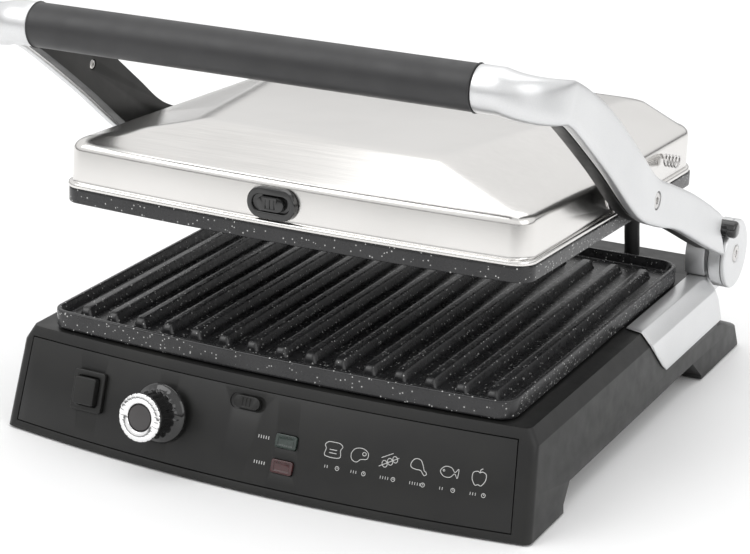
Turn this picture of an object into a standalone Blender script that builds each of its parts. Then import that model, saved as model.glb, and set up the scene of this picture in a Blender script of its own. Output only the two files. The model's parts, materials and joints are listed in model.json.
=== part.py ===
# Contact grill (panini press) with a floating lid, 180 degree release hinge and two
# ribbed plates.  Units are metres, +Z up, the front faces -Y.
# Everything is laid out in a design frame whose y = 0 is the front corner of the
# base at floor level, and is shifted by (XC, YC) at the very end.
import bpy
import math
import numpy as np
from mathutils import Vector, Matrix

for o in list(bpy.data.objects):
    bpy.data.objects.remove(o, do_unlink=True)

# ------------------------------------------------------------------ dimensions
XC, YC = 0.0028, 0.1616      # shift of the design frame to the centre of the whole
GAP = 0.0003                 # clearance left between touching pieces

BASE_HW0 = 0.1725            # base half width at the floor
BASE_HW1 = 0.1682            # ... at the crease under the top edge
BASE_HW2 = 0.1630            # ... at the top edge
Z_CREASE = 0.0526
Z_TOP = 0.0614               # base top surface
FOOT_Z = 0.0012              # the housing stands this high on its rubber feet
LEAN = 0.293                 # front face: y = LEAN * z
BOW0, BOW1 = 0.0146, 0.0085  # bow of the front face at the floor and at the top
REAR_Y = 0.351               # rear of the rear foot

PL_HW = 0.151                # grill plate half width
PL_YF, PL_YR = 0.0195, 0.2846
PL_BOW = 0.0060
PL_RIM = 0.0736              # lower plate rim height
PL_SKIRT = 0.0625
PL_FLOOR = 0.0680
UP_RIM = 0.0745              # upper plate rim, lid closed
UP_SKIRT = 0.0838
RIBS = 15
RIB_PITCH = 0.0191

HINGE = (0.314, 0.075)       # y, z of the arm hinge axis
HINGE_R = 0.0225
PIVOT = (0.161, 0.1536)      # y, z of the lid pivot with the arms at rest
PIVOT_C = (0.1436, 0.0980)   # ... with the press closed
LID_PITCH = math.radians(2.9)
GRIP = (-0.0035, 0.2538)     # y, z of the handle axis at rest
GRIP_R = 0.0127
ARM_X0, ARM_X1 = 0.1685, 0.1768
LINER_X0, LINER_X1 = 0.1605, 0.1682

# ------------------------------------------------------------------ materials
MATS = {}


def mat(name, rgb, metallic=0.0, rough=0.5, trans=0.0):
    if name not in MATS:
        m = bpy.data.materials.new(name)
        m.use_nodes = True
        b = m.node_tree.nodes["Principled BSDF"]
        b.inputs["Base Color"].default_value = (*rgb, 1.0)
        b.inputs["Metallic"].default_value = metallic
        b.inputs["Roughness"].default_value = rough
        if trans:
            b.inputs["Transmission Weight"].default_value = trans
        m.diffuse_color = (*rgb, 1.0)
        MATS[name] = m
    return MATS[name]


def M(kind):
    table = {
        "black_plastic": ((0.030, 0.030, 0.029), 0.0, 0.42),
        "grip_rubber": ((0.060, 0.060, 0.062), 0.0, 0.60),
        "gloss_black": ((0.010, 0.010, 0.010), 0.0, 0.10),
        "granite": ((0.035, 0.035, 0.035), 0.0, 0.38),
        "steel": ((0.62, 0.61, 0.60), 1.0, 0.28),
        "satin_aluminium": ((0.74, 0.74, 0.75), 1.0, 0.34),
        "chrome": ((0.80, 0.80, 0.80), 1.0, 0.08),
        "element": ((0.22, 0.21, 0.20), 0.9, 0.40),
        "sheet": ((0.55, 0.55, 0.55), 0.9, 0.35),
        "silver_plastic": ((0.55, 0.56, 0.57), 0.4, 0.38),
        "rubber": ((0.020, 0.020, 0.020), 0.0, 0.80),
        "green_lens": ((0.035, 0.060, 0.045), 0.0, 0.15),
        "red_lens": ((0.080, 0.030, 0.030), 0.0, 0.15),
        "board": ((0.05, 0.16, 0.07), 0.0, 0.50),
        "ceramic": ((0.75, 0.73, 0.68), 0.0, 0.45),
        "cable": ((0.018, 0.018, 0.018), 0.0, 0.55),
        "brass": ((0.60, 0.45, 0.20), 1.0, 0.30),
    }
    rgb, me, ro = table[kind]
    return mat(kind, rgb, me, ro)


# ------------------------------------------------------------------ helpers
def build(name, verts, faces, kind, smooth=30):
    me = bpy.data.meshes.new(name)
    me.from_pydata([tuple(v) for v in verts], [], [tuple(f) for f in faces])
    me.validate()
    me.update()
    ob = bpy.data.objects.new(name, me)
    bpy.context.scene.collection.objects.link(ob)
    me.materials.append(M(kind))
    fix_normals(me)
    if smooth:
        soften(me, smooth)
    return ob


def soften(me, angle):
    for p in me.polygons:
        p.use_smooth = True
    if hasattr(me, "set_sharp_from_angle"):
        me.set_sharp_from_angle(angle=math.radians(angle))


def fix_normals(me):
    import bmesh
    bm = bmesh.new()
    bm.from_mesh(me)
    bmesh.ops.recalc_face_normals(bm, faces=bm.faces)
    vol = bm.calc_volume(signed=True)
    if vol < 0:
        bmesh.ops.reverse_faces(bm, faces=bm.faces)
    bm.to_mesh(me)
    bm.free()


def loft(name, rings, kind, smooth=30, caps=True):
    """Closed rings of equal length joined in order, both ends capped."""
    n = len(rings[0])
    verts = [v for r in rings for v in r]
    faces = []
    for k in range(len(rings) - 1):
        for i in range(n):
            j = (i + 1) % n
            faces.append((k * n + i, k * n + j, (k + 1) * n + j, (k + 1) * n + i))
    if caps:
        faces.append(tuple(range(n - 1, -1, -1)))
        faces.append(tuple((len(rings) - 1) * n + i for i in range(n)))
    return build(name, verts, faces, kind, smooth)


def torus_loft(name, rings, kind, smooth=30):
    """Rings joined in order and the last joined back to the first."""
    n = len(rings[0])
    verts = [v for r in rings for v in r]
    faces = []
    m = len(rings)
    for k in range(m):
        for i in range(n):
            j = (i + 1) % n
            a, b = k * n, ((k + 1) % m) * n
            faces.append((a + i, a + j, b + j, b + i))
    return build(name, verts, faces, kind, smooth)


def prism(name, outline, a, b, kind, axis="x", smooth=30):
    """A polygon in the plane across `axis`, pushed from a to b along it."""
    def put(p, t):
        if axis == "x":
            return (t, p[0], p[1])
        if axis == "y":
            return (p[0], t, p[1])
        return (p[0], p[1], t)
    return loft(name, [[put(p, a) for p in outline], [put(p, b) for p in outline]], kind, smooth)


def box(name, x0, x1, y0, y1, z0, z1, kind, r=0.0, smooth=30):
    if r:
        return prism(name, rounded(x0, x1, y0, y1, r), z0, z1, kind, "z", smooth)
    return prism(name, [(x0, y0), (x1, y0), (x1, y1), (x0, y1)], z0, z1, kind, "z", smooth)


def rounded(x0, x1, y0, y1, r, n=4):
    pts = []
    for cx, cy, a0 in ((x1 - r, y0 + r, -90), (x1 - r, y1 - r, 0), (x0 + r, y1 - r, 90), (x0 + r, y0 + r, 180)):
        for k in range(n + 1):
            a = math.radians(a0 + 90 * k / n)
            pts.append((cx + r * math.cos(a), cy + r * math.sin(a)))
    return pts


def lathe(name, profile, centre, axis, kind, seg=20, smooth=40):
    """profile is a closed list of (distance along axis, radius); radius 0 makes a pole."""
    ax = Vector(axis).normalized()
    ref = Vector((0, 0, 1)) if abs(ax.z) < 0.9 else Vector((1, 0, 0))
    u = ax.cross(ref).normalized()
    v = ax.cross(u).normalized()
    c = Vector(centre)
    verts, index = [], []
    for a, r in profile:
        if r < 1e-9:
            index.append([len(verts)] * seg)
            verts.append(c + ax * a)
        else:
            row = []
            for k in range(seg):
                t = 2 * math.pi * k / seg
                row.append(len(verts))
                verts.append(c + ax * a + (u * math.cos(t) + v * math.sin(t)) * r)
            index.append(row)
    faces = []
    m = len(profile)
    closed = profile[0][1] > 1e-9 and profile[-1][1] > 1e-9
    for k in range(m if closed else m - 1):
        p, q = index[k], index[(k + 1) % m]
        for i in range(seg):
            j = (i + 1) % seg
            f = []
            for w in (p[i], p[j], q[j], q[i]):
                if w not in f:
                    f.append(w)
            if len(f) > 2:
                faces.append(tuple(f))
    return build(name, verts, faces, kind, smooth)


def rod(name, r, a, b, centre, axis, kind, seg=16, smooth=40):
    return lathe(name, [(a, 0), (a, r), (b, r), (b, 0)], centre, axis, kind, seg, smooth)


def tube(name, path, r, kind, seg=10, smooth=40):
    pts = [Vector(p) for p in path]
    tang = []
    for i in range(len(pts)):
        a = pts[max(i - 1, 0)]
        b = pts[min(i + 1, len(pts) - 1)]
        tang.append((b - a).normalized())
    t = tang[0]
    ref = Vector((0, 0, 1)) if abs(t.z) < 0.9 else Vector((1, 0, 0))
    u = t.cross(ref).normalized()
    rings = []
    for p, t in zip(pts, tang):
        u = (u - t * u.dot(t)).normalized()
        v = t.cross(u)
        rings.append([tuple(p + (u * math.cos(2 * math.pi * k / seg) + v * math.sin(2 * math.pi * k / seg)) * r) for k in range(seg)])
    return loft(name, rings, kind, smooth)


def smooth_path(points, n=6):
    """Catmull-Rom through the points."""
    p = [np.array(q, float) for q in points]
    p = [2 * p[0] - p[1]] + p + [2 * p[-1] - p[-2]]
    out = []
    for i in range(1, len(p) - 2):
        for k in range(n):
            t = k / n
            a, b, c, d = p[i - 1], p[i], p[i + 1], p[i + 2]
            out.append(0.5 * ((2 * b) + (-a + c) * t + (2 * a - 5 * b + 4 * c - d) * t * t + (-a + 3 * b - 3 * c + d) * t ** 3))
    out.append(p[-2])
    return out


def carve(ob, cutters, how="DIFFERENCE", smooth=30):
    """Boolean with each cutter in turn, then the cutters are removed."""
    for c in cutters:
        md = ob.modifiers.new("cut", "BOOLEAN")
        md.operation = how
        md.solver = "EXACT"
        md.object = c
        dg = bpy.context.evaluated_depsgraph_get()
        me = bpy.data.meshes.new_from_object(ob.evaluated_get(dg))
        ob.modifiers.clear()
        ob.data = me
        bpy.data.objects.remove(c, do_unlink=True)
    clean(ob.data)
    if smooth:
        soften(ob.data, smooth)
    return ob


def clean(me):
    import bmesh
    bm = bmesh.new()
    bm.from_mesh(me)
    bmesh.ops.remove_doubles(bm, verts=bm.verts, dist=1e-6)
    bmesh.ops.dissolve_degenerate(bm, dist=1e-6, edges=bm.edges)
    bmesh.ops.triangulate(bm, faces=[f for f in bm.faces if len(f.verts) > 4])
    bm.to_mesh(me)
    bm.free()
    while len(me.materials) > 1:
        me.materials.pop(index=len(me.materials) - 1)


def map_mesh(ob, fn):
    for v in ob.data.vertices:
        v.co = Vector(fn(tuple(v.co)))
    ob.data.update()
    return ob


def origin(ob, at):
    at = Vector(at)
    ob.data.transform(Matrix.Translation(-at))
    ob.location = at
    return ob


def mirror(ob, name):
    """An own copy on the other side of x = 0."""
    me = ob.data.copy()
    me.name = name
    o2 = bpy.data.objects.new(name, me)
    bpy.context.scene.collection.objects.link(o2)
    loc = ob.location.copy()
    for v in me.vertices:
        v.co.x = -v.co.x
    me.flip_normals()
    o2.location = (-loc.x, loc.y, loc.z)
    return o2


def plan(hwf, hwr, yf, yr, rf, rr, bow, z, nc=4, nf=6):
    """A plan outline: rounded rectangle or trapezium whose front edge is bowed out."""
    pts = []
    for k in range(nf + 1):
        x = -hwf + rf + (2 * hwf - 2 * rf) * k / nf
        pts.append([x, yf])
    for k in range(1, nc + 1):
        a = math.radians(-90 + 90 * k / nc)
        pts.append([hwf - rf + rf * math.cos(a), yf + rf + rf * math.sin(a)])
    for k in range(nc + 1):
        a = math.radians(90 * k / nc)
        pts.append([hwr - rr + rr * math.cos(a), yr - rr + rr * math.sin(a)])
    for k in range(nc + 1):
        a = math.radians(90 + 90 * k / nc)
        pts.append([-hwr + rr + rr * math.cos(a), yr - rr + rr * math.sin(a)])
    for k in range(nc):
        a = math.radians(180 + 90 * k / nc)
        pts.append([-hwf + rf + rf * math.cos(a), yf + rf + rf * math.sin(a)])
    mid = 0.5 * (yf + yr)
    out = []
    for x, y in pts:
        if y < mid and bow:
            w = max(0.0, 1 - (x / hwf) ** 2)
            f = min(1.0, (mid - y) / (mid - yf))
            y -= bow * w * f
        out.append((x, y, z))
    return out


def front_y(x, z):
    s = BOW0 + (BOW1 - BOW0) * z / Z_TOP
    return LEAN * z - s * (1 - (x / BASE_HW0) ** 2)


def lid(p):
    """Carries a point from the closed press to the rest pose of the lid."""
    x, y, z = p
    y -= PIVOT_C[0]
    z -= PIVOT_C[1]
    c, s = math.cos(LID_PITCH), math.sin(LID_PITCH)
    return (x, PIVOT[0] + c * y + s * z, PIVOT[1] - s * y + c * z)


def on_lid(ob):
    return map_mesh(ob, lid)


# ------------------------------------------------------------------ base
def base_plan(z, inset=0.0, rear=None, r=0.004):
    if z <= Z_CREASE:
        hw = BASE_HW0 + (BASE_HW1 - BASE_HW0) * z / Z_CREASE
    else:
        hw = BASE_HW1 + (BASE_HW2 - BASE_HW1) * (z - Z_CREASE) / (Z_TOP - Z_CREASE)
    s = BOW0 + (BOW1 - BOW0) * z / Z_TOP
    yf = LEAN * z
    return plan(hw - inset, hw - inset, yf + inset, rear - inset, max(r - inset, 0.002), max(0.008 - inset, 0.002), s, z, 2, 10)


REAR = [(FOOT_Z, REAR_Y), (0.0150, 0.3462), (0.0262, 0.3186), (0.0268, 0.3120), (0.0452, 0.3058), (Z_CREASE, 0.3009), (0.0559, 0.2987), (Z_TOP, 0.2965)]
housing = loft("base_housing", [base_plan(z, 0.0, y) for z, y in REAR], "black_plastic", 20)
block = box("block", -0.1500, 0.1500, 0.2750, 0.3340, 0.0100, Z_TOP, "black_plastic")
carve(housing, [block], "UNION")
# the arch between the front and the rear foot, open on both sides
ARCH = [(0.0463, -0.02), (0.0480, 0.0060), (0.0580, 0.0166), (0.2585, 0.0166), (0.2735, 0.0040), (0.2753, -0.02)]
arch = prism("arch", ARCH, -0.3, 0.3, "black_plastic", "x")
# the hollow inside
hollow = loft("hollow", [base_plan(z, 0.0030, y) for z, y in ((0.0190, 0.3050), (Z_CREASE - 0.003, 0.2960), (Z_TOP - 0.0029, 0.2925))], "black_plastic")
hollow2 = box("hollow2", -0.160, 0.160, 0.0590, 0.2575, 0.0100, 0.0300, "black_plastic")
well = box("well", -0.1325, 0.1325, 0.0370, 0.2700, 0.0500, 0.0700, "black_plastic", 0.012)
carve(housing, [arch, hollow, hollow2, well])


def panel_solid(name, x0, x1, wide, z0, z1, out, inn, n=14):
    """A slab that follows the bowed front face; out and inn are depths behind it."""
    rings = []
    for k in range(n + 1):
        t = k / n
        ring = []
        for z, d in ((z0, out), (z1, out), (z1, inn), (z0, inn)):
            w = wide * (z1 - z) / (z1 - z0)
            x = (x0 - w) + (x1 - x0 + 2 * w) * t
            ring.append((x, front_y(x, z) + d, z))
        rings.append(ring)
    return loft(name, rings, "black_plastic", 20)


PZ0, PZ1 = 0.0060, 0.0550
recess = panel_solid("recess", -0.1612, 0.1575, 0.0040, PZ0 - 0.0006, PZ1 + 0.0006, -0.010, 0.0026)
window = box("window", -0.1400, 0.1400, -0.0100, 0.0400, 0.0215, 0.0500, "black_plastic")
lamp_room = box("lamp_room", 0.0040, 0.0420, -0.0200, 0.0200, 0.0090, 0.0480, "black_plastic")
carve(housing, [recess, window, lamp_room])

panel = panel_solid("front_panel", -0.1606, 0.1569, 0.0040, PZ0, PZ1, 0.0004, 0.0020)

# local frame of the front face at a point: u along X, n outwards, w up the face
def face_frame(x, z):
    e = 1e-4
    px = Vector((2 * e, front_y(x + e, z) - front_y(x - e, z), 0)).normalized()
    pz = Vector((0, front_y(x, z + e) - front_y(x, z - e), 2 * e)).normalized()
    n = px.cross(pz).normalized()
    if n.y > 0:
        n = -n
    w = (pz - n * pz.dot(n)).normalized()
    u = w.cross(-n).normalized()
    return Vector((x, front_y(x, z), z)), u, n, w


def face_prism(name, x, z, outline, a, b, kind, smooth=30, scale_b=1.0):
    """outline in (u, w) around a point of the front face, from depth a to b along n."""
    c, u, n, w = face_frame(x, z)
    r0 = [tuple(c + u * p[0] + w * p[1] + n * a) for p in outline]
    r1 = [tuple(c + u * p[0] * scale_b + w * p[1] * scale_b + n * b) for p in outline]
    return loft(name, [r0, r1], kind, smooth)


def stadium(hw, hh, n=6):
    r = hh
    pts = []
    for cx, a0 in ((hw - r, -90), (-(hw - r), 90)):
        for k in range(n + 1):
            a = math.radians(a0 + 180 * k / n)
            pts.append((cx + r * math.cos(a), r * math.sin(a)))
    return pts


KNOB = (-0.0600, 0.0325)
BUTTON = (-0.1135, 0.0335)
LATCH = (-0.0060, 0.0478)
GREEN = (0.0226, 0.0318)
RED = (0.0226, 0.0182)

kc, ku, kn, kw = face_frame(*KNOB)
# the control shaft points a little less upwards than the face does
KN = Vector((-0.045, -math.cos(math.radians(12)), math.sin(math.radians(12)))).normalized()

cuts = [
    rod("c1", 0.0046, -0.02, 0.02, kc, KN, "black_plastic", 20),
    face_prism("c2", *BUTTON, rounded(-0.0078, 0.0078, -0.0086, 0.0086, 0.0015), -0.01, 0.01, "black_plastic"),
    face_prism("c3", *LATCH, rounded(-0.0052, 0.0052, -0.0016, 0.0016, 0.0008), -0.01, 0.01, "black_plastic"),
    face_prism("c3b", *LATCH, stadium(0.0118, 0.0046), -0.0014, 0.01, "black_plastic"),
    face_prism("c4", *GREEN, rounded(-0.0070, 0.0070, -0.0042, 0.0042, 0.0015), -0.01, 0.01, "black_plastic"),
    face_prism("c5", *RED, rounded(-0.0070, 0.0070, -0.0042, 0.0042, 0.0015), -0.01, 0.01, "black_plastic"),
]
carve(panel, cuts, smooth=20)

bottom = box("bottom_cover", -0.1590, 0.1590, 0.0600, 0.2565, 0.0172, 0.0190, "black_plastic", 0.004)
# vents through the bottom cover
vents = [box(f"v{i}", -0.060 + 0.024 * i, -0.048 + 0.024 * i, 0.090, 0.140, 0.010, 0.030, "black_plastic", 0.0015) for i in (0, 2, 4)]
carve(bottom, vents)

for i, (sx, fy) in enumerate(((-1, 0.026), (1, 0.026), (-1, 0.308), (1, 0.308))):
    nm = ("foot_pad_front_left", "foot_pad_front_right", "foot_pad_rear_left", "foot_pad_rear_right")[i]
    pocket = rod("pk", 0.0078, -0.01, 0.0042, (sx * 0.140, fy, 0), (0, 0, 1), "rubber", 24)
    carve(housing, [pocket])
    rod(nm, 0.0075, 0.0, 0.0039, (sx * 0.140, fy, 0), (0, 0, 1), "rubber", 24)

# silver side covers: a shell 1.2 mm thick lying on the top, the bevel and the side
COV_T = 0.0012


def side_x(z):
    if z <= Z_CREASE:
        return BASE_HW0 + (BASE_HW1 - BASE_HW0) * z / Z_CREASE
    return BASE_HW1 + (BASE_HW2 - BASE_HW1) * (z - Z_CREASE) / (Z_TOP - Z_CREASE)


def cover(name):
    # stations down the section: (x, z, front y, rear y)
    st = [
        (0.1525, Z_TOP, 0.1852, 0.2950),
        (0.1630, Z_TOP, 0.1827, 0.2958),
        (BASE_HW1, Z_CREASE, 0.1865, 0.3003),
        (side_x(0.0452), 0.0452, 0.1930, 0.3051),
        (side_x(0.0350), 0.0350, 0.2030, 0.3083),
        (side_x(0.0300), 0.0300, 0.2095, 0.3095),
    ]
    nrm = [(0, 1), (0.40, 0.92), (0.93, 0.36), (1, 0.08), (1, 0.08), (1, 0.08)]
    rows_o, rows_i = [], []
    for (x, z, yf, yr), (nx, nz) in zip(st, nrm):
        L = math.hypot(nx, nz)
        nx, nz = nx / L, nz / L
        rows_i.append((x + nx * GAP, z + nz * GAP, yf, yr))
        rows_o.append((x + nx * (GAP + COV_T), z + nz * (GAP + COV_T), yf, yr))
    rings = []
    N = 10
    for k in range(N + 1):
        t = k / N
        ring = [(x, yf + (yr - yf) * t, z) for x, z, yf, yr in rows_o] + [(x, yf + (yr - yf) * t, z) for x, z, yf, yr in reversed(rows_i)]
        rings.append(ring)
    return loft(name, rings, "satin_aluminium", 20)


cr = cover("side_cover_right")
cl = mirror(cr, "side_cover_left")

# hinge knuckles standing at the rear corners of the base
def knuckle():
    cy, cz = HINGE
    zt = Z_TOP + COV_T + 3 * GAP
    a_end = math.degrees(math.asin((zt - cz) / HINGE_R))
    pts = []
    # counter-clockwise arc in (y, z) from the rear over the top to the front
    a0, a1 = 0.0, 180.0 - a_end
    for k in range(25):
        a = math.radians(a0 + (a1 - a0) * k / 24)
        pts.append((cy + HINGE_R * math.cos(a), cz + HINGE_R * math.sin(a)))
    pts += [(0.2990, zt), (0.3095, 0.0465), (0.3325, 0.0465), (0.3355, 0.0680)]
    return prism("hinge_knuckle_right", pts, 0.1503, 0.1630, "satin_aluminium", "x")


kr = knuckle()
carve(kr, [rod("b", 0.0043, 0.13, 0.18, (0, *HINGE), (1, 0, 0), "steel", 20)])
kl = mirror(kr, "hinge_knuckle_left")
shaft = rod("hinge_shaft_right", 0.0040, 0.1515, 0.1720, (0, *HINGE), (1, 0, 0), "steel", 20)
mirror(shaft, "hinge_shaft_left")


# ------------------------------------------------------------------ grill plates
def plate(name, rim, skirt, floor, ribs_to, bow, kind="granite"):
    """Upward-facing when floor < rim: skirt, rim, inner wall, floor with ribs, hollow back."""
    s = 1 if rim > skirt else -1

    def ring(ins, z, r=0.010):
        return plan(PL_HW - ins, PL_HW - ins, PL_YF + ins, PL_YR - ins, max(r - ins, 0.004), max(r + 0.004 - ins, 0.004), bow, z)
    back = floor - s * 0.0028
    rings = [
        ring(0.0024, back),
        ring(0.0026, skirt),
        ring(0.0006, skirt),
        ring(0.0000, skirt + s * 0.0012),
        ring(0.0000, rim - s * 0.0010),
        ring(0.0006, rim),
        ring(0.0020, rim),
        ring(0.0028, rim - s * 0.0010),
        ring(0.0050, floor + s * 0.0006),
        ring(0.0064, floor),
    ]
    n = len(rings[0])
    # caps: the inside floor and the back
    verts = [v for r in rings for v in r]
    faces = []
    for k in range(len(rings) - 1):
        for i in range(n):
            j = (i + 1) % n
            faces.append((k * n + i, k * n + j, (k + 1) * n + j, (k + 1) * n + i))
    faces.append(tuple(range(n - 1, -1, -1)))
    faces.append(tuple((len(rings) - 1) * n + i for i in range(n)))
    ob = build(name, verts, faces, kind, 30)
    rib_cut = []
    for i in range(RIBS):
        x = (i - (RIBS - 1) / 2) * RIB_PITCH
        y0, y1 = 0.0300, 0.2640
        z0, z1 = floor - s * 0.0008, ribs_to
        wb, wt = 0.0052, 0.0029
        prof = [
            (y0, floor - s * 0.0008, wb), (y0 + 0.0010, floor + s * 0.0026, wb - 0.0008), (y0 + 0.0045, ribs_to, wt),
            (y1 - 0.0045, ribs_to, wt), (y1 - 0.0010, floor + s * 0.0026, wb - 0.0008), (y1, floor - s * 0.0008, wb),
        ]
        # left and right walls from the profile, closed underneath
        rings_r = []
        for y, z, w in prof:
            zz = [z0, z]
            rings_r.append([(x - wb, y, z0 - s * 0.0001), (x - w, y, z), (x + w, y, z), (x + wb, y, z0 - s * 0.0001)])
        rb = loft("rib", rings_r, kind, 0)
        rib_cut.append(rb)
    carve(ob, rib_cut, "UNION", 30)
    return ob


lower = plate("lower_plate", PL_RIM, PL_SKIRT, PL_FLOOR, 0.0737, PL_BOW)

# heat reflector pan under the lower plate
def pan(name, z_flange, z_deep, t, hw, y0, y1, hwf, yf0, yf1, kind="sheet"):
    s = 1 if z_flange > z_deep else -1
    def R(hwx, a, b, z, r):
        return plan(hwx, hwx, a, b, r, r, 0.0, z, 4, 2)
    rings = [
        R(hw - 0.006, y0 + 0.006, y1 - 0.006, z_deep - s * t, 0.008),
        R(hw, y0, y1, z_deep + s * 0.004, 0.010),
        R(hw, y0, y1, z_flange - s * t, 0.010),
        R(hwf, yf0, yf1, z_flange - s * t, 0.010),
        R(hwf, yf0, yf1, z_flange, 0.010),
        R(hw - t, y0 + t, y1 - t, z_flange, 0.0095),
        R(hw - t, y0 + t, y1 - t, z_deep + s * 0.004, 0.0095),
        R(hw - 0.006 - t, y0 + 0.006 + t, y1 - 0.006 - t, z_deep, 0.0075),
    ]
    return loft(name, rings, kind, 30)


pan("lower_reflector_pan", Z_TOP + 0.0003 + 0.0006, 0.0520, 0.0006, 0.1315, 0.0380, 0.2690, 0.1400, 0.0325, 0.2745)


def element(name, z, s, lift):
    pts = []
    xs = (-0.105, -0.035, 0.035, 0.105)
    y0, y1 = 0.070, 0.235
    path = [(xs[0], y1, z - lift), (xs[0], y1 - 0.001, z - lift * 0.4), (xs[0], y1 - 0.008, z), (xs[0], y0 + 0.030, z)]
    def turn(xa, xb, y, sign):
        out = []
        c = 0.5 * (xa + xb)
        r = 0.5 * abs(xb - xa)
        for k in range(1, 7):
            a = math.pi * k / 7
            out.append((c - r * math.cos(a) * (1 if xb > xa else -1), y + sign * r * 0.85 * math.sin(a), z))
        return out
    path += turn(xs[0], xs[1], y0 + 0.030, -1)
    path += [(xs[1], y0 + 0.030, z), (xs[1], y1 - 0.040, z)]
    path += turn(xs[1], xs[2], y1 - 0.040, 1)
    path += [(xs[2], y1 - 0.040, z), (xs[2], y0 + 0.030, z)]
    path += turn(xs[2], xs[3], y0 + 0.030, -1)
    path += [(xs[3], y0 + 0.030, z), (xs[3], y1 - 0.008, z), (xs[3], y1 - 0.001, z - lift * 0.4), (xs[3], y1, z - lift)]
    return tube(name, path, 0.0030, "element", 6)


element("lower_heating_element", 0.0616, 1, 0.0060)

# ------------------------------------------------------------------ fittings inside the base
therm = lathe("control_thermostat", [(-0.0220, 0), (-0.0220, 0.0086), (-0.0070, 0.0086), (-0.0070, 0.0038), (-0.0200, 0.0038), (-0.0200, 0.0)], kc, KN, "ceramic", 16)
terminal = box("terminal_block", -0.0300, 0.0300, 0.2350, 0.2520, 0.0193, 0.0330, "ceramic", 0.002)
lamp_board = face_prism("lamp_board", 0.0226, 0.0262, rounded(-0.0160, 0.0160, -0.0120, 0.0085, 0.001), -0.0090, -0.0075, "board")
for nm, at, kd in (("ready_lens", GREEN, "green_lens"), ("power_lens", RED, "red_lens")):
    c, u, n, w = face_frame(*at)
    lens = face_prism(nm, *at, rounded(-0.0067, 0.0067, -0.0039, 0.0039, 0.0013), -0.0072, 0.0008, kd, 30)
bezel = face_prism("button_bezel", *BUTTON, rounded(-0.0112, 0.0112, -0.0122, 0.0122, 0.0020), 0.0000, 0.0026, "black_plastic", 20)
carve(bezel, [face_prism("bz", *BUTTON, rounded(-0.0078, 0.0078, -0.0086, 0.0086, 0.0012), -0.01, 0.02, "black_plastic")], smooth=20)
button = face_prism("push_button", *BUTTON, rounded(-0.0074, 0.0074, -0.0082, 0.0082, 0.0012), -0.0060, 0.0062, "black_plastic", 20)
button_switch = face_prism("button_switch", *BUTTON, rounded(-0.0080, 0.0080, -0.0070, 0.0070, 0.0008), -0.0200, -0.0095, "ceramic", 20)

inlet = lathe("cord_inlet", [(0.0, 0.0040), (0.0, 0.0062), (0.0062, 0.0062), (0.0062, 0.0085), (0.0092, 0.0080), (0.0092, 0.0040)], (-0.110, 0.3281, 0.0340), (0, 1, 0), "rubber", 16)
carve(housing, [rod("ci", 0.0065, -0.01, 0.04, (-0.110, 0.300, 0.0340), (0, 1, 0), "rubber", 16)])

lead = tube("internal_lead", smooth_path([(-0.0280, 0.2335, 0.0262), (-0.0300, 0.2100, 0.0225), (-0.0420, 0.1400, 0.0215), (-0.0560, 0.0600, 0.0260), (-0.0580, 0.0330, 0.0305)], 5), 0.0016, "cable", 8)

# ------------------------------------------------------------------ control knob
shaft_k = rod("knob_shaft", 0.0030, -0.0195, 0.0150, kc, KN, "steel", 16)


def knob_body():
    """A fluted body on a flared skirt: the radius ripples around the axis."""
    ref = Vector((0, 0, 1))
    u = KN.cross(ref).normalized()
    v = KN.cross(u).normalized()
    seg = 48
    rows = [(0.0026, 0.0034, 0), (0.0026, 0.0180, 0), (0.0052, 0.0178, 0), (0.0080, 0.0132, 1), (0.0212, 0.0126, 1), (0.0212, 0.0034, 0)]
    rings = []
    for a, r, f in rows:
        ring = []
        for k in range(seg):
            t = 2 * math.pi * k / seg
            rr = r - 0.0005 * f * (0.5 - 0.5 * math.cos(12 * t))
            ring.append(tuple(kc + KN * a + (u * math.cos(t) + v * math.sin(t)) * rr))
        rings.append(ring)
    return torus_loft("control_knob", rings, "gloss_black", 40)


knob = knob_body()
ring_k = lathe("knob_trim_ring", [(0.0215, 0.0080), (0.0215, 0.0122), (0.0224, 0.0142), (0.0244, 0.0142), (0.0252, 0.0132), (0.0252, 0.0080)], kc, KN, "chrome", 28)
cap_k = lathe("knob_cap", [(0.0215, 0), (0.0215, 0.0077), (0.0246, 0.0077), (0.0249, 0.0070), (0.0249, 0)], kc, KN, "gloss_black", 24)
for o in (shaft_k, knob, ring_k, cap_k):
    origin(o, kc)

# latch slider of the lower plate
slider = face_prism("lower_latch_slider", *LATCH, stadium(0.0085, 0.0036), -0.0010, 0.0016, "black_plastic", 25)
stem = face_prism("st", *LATCH, rounded(-0.0022, 0.0022, -0.0012, 0.0012, 0.0004), -0.0044, -0.0005, "black_plastic")
carve(slider, [stem], "UNION", 25)

# ------------------------------------------------------------------ arms and handle
def arm_outline():
    """Centre line with half height, from the elbow to the hinge, in (y, z)."""
    lower = [(-0.0010, 0.2418), (0.0225, 0.2328), (0.0379, 0.2240), (0.0850, 0.1895), (0.1346, 0.1507), (0.1700, 0.1345), (0.2056, 0.1219), (0.2617, 0.0945), (0.2926, 0.0800)]
    upper = [(0.0100, 0.2640), (0.0480, 0.2475), (0.0885, 0.2241), (0.1350, 0.1889), (0.1620, 0.1680), (0.1900, 0.1555), (0.2294, 0.1386), (0.2709, 0.1175), (0.3060, 0.0975)]
    return lower, upper


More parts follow.
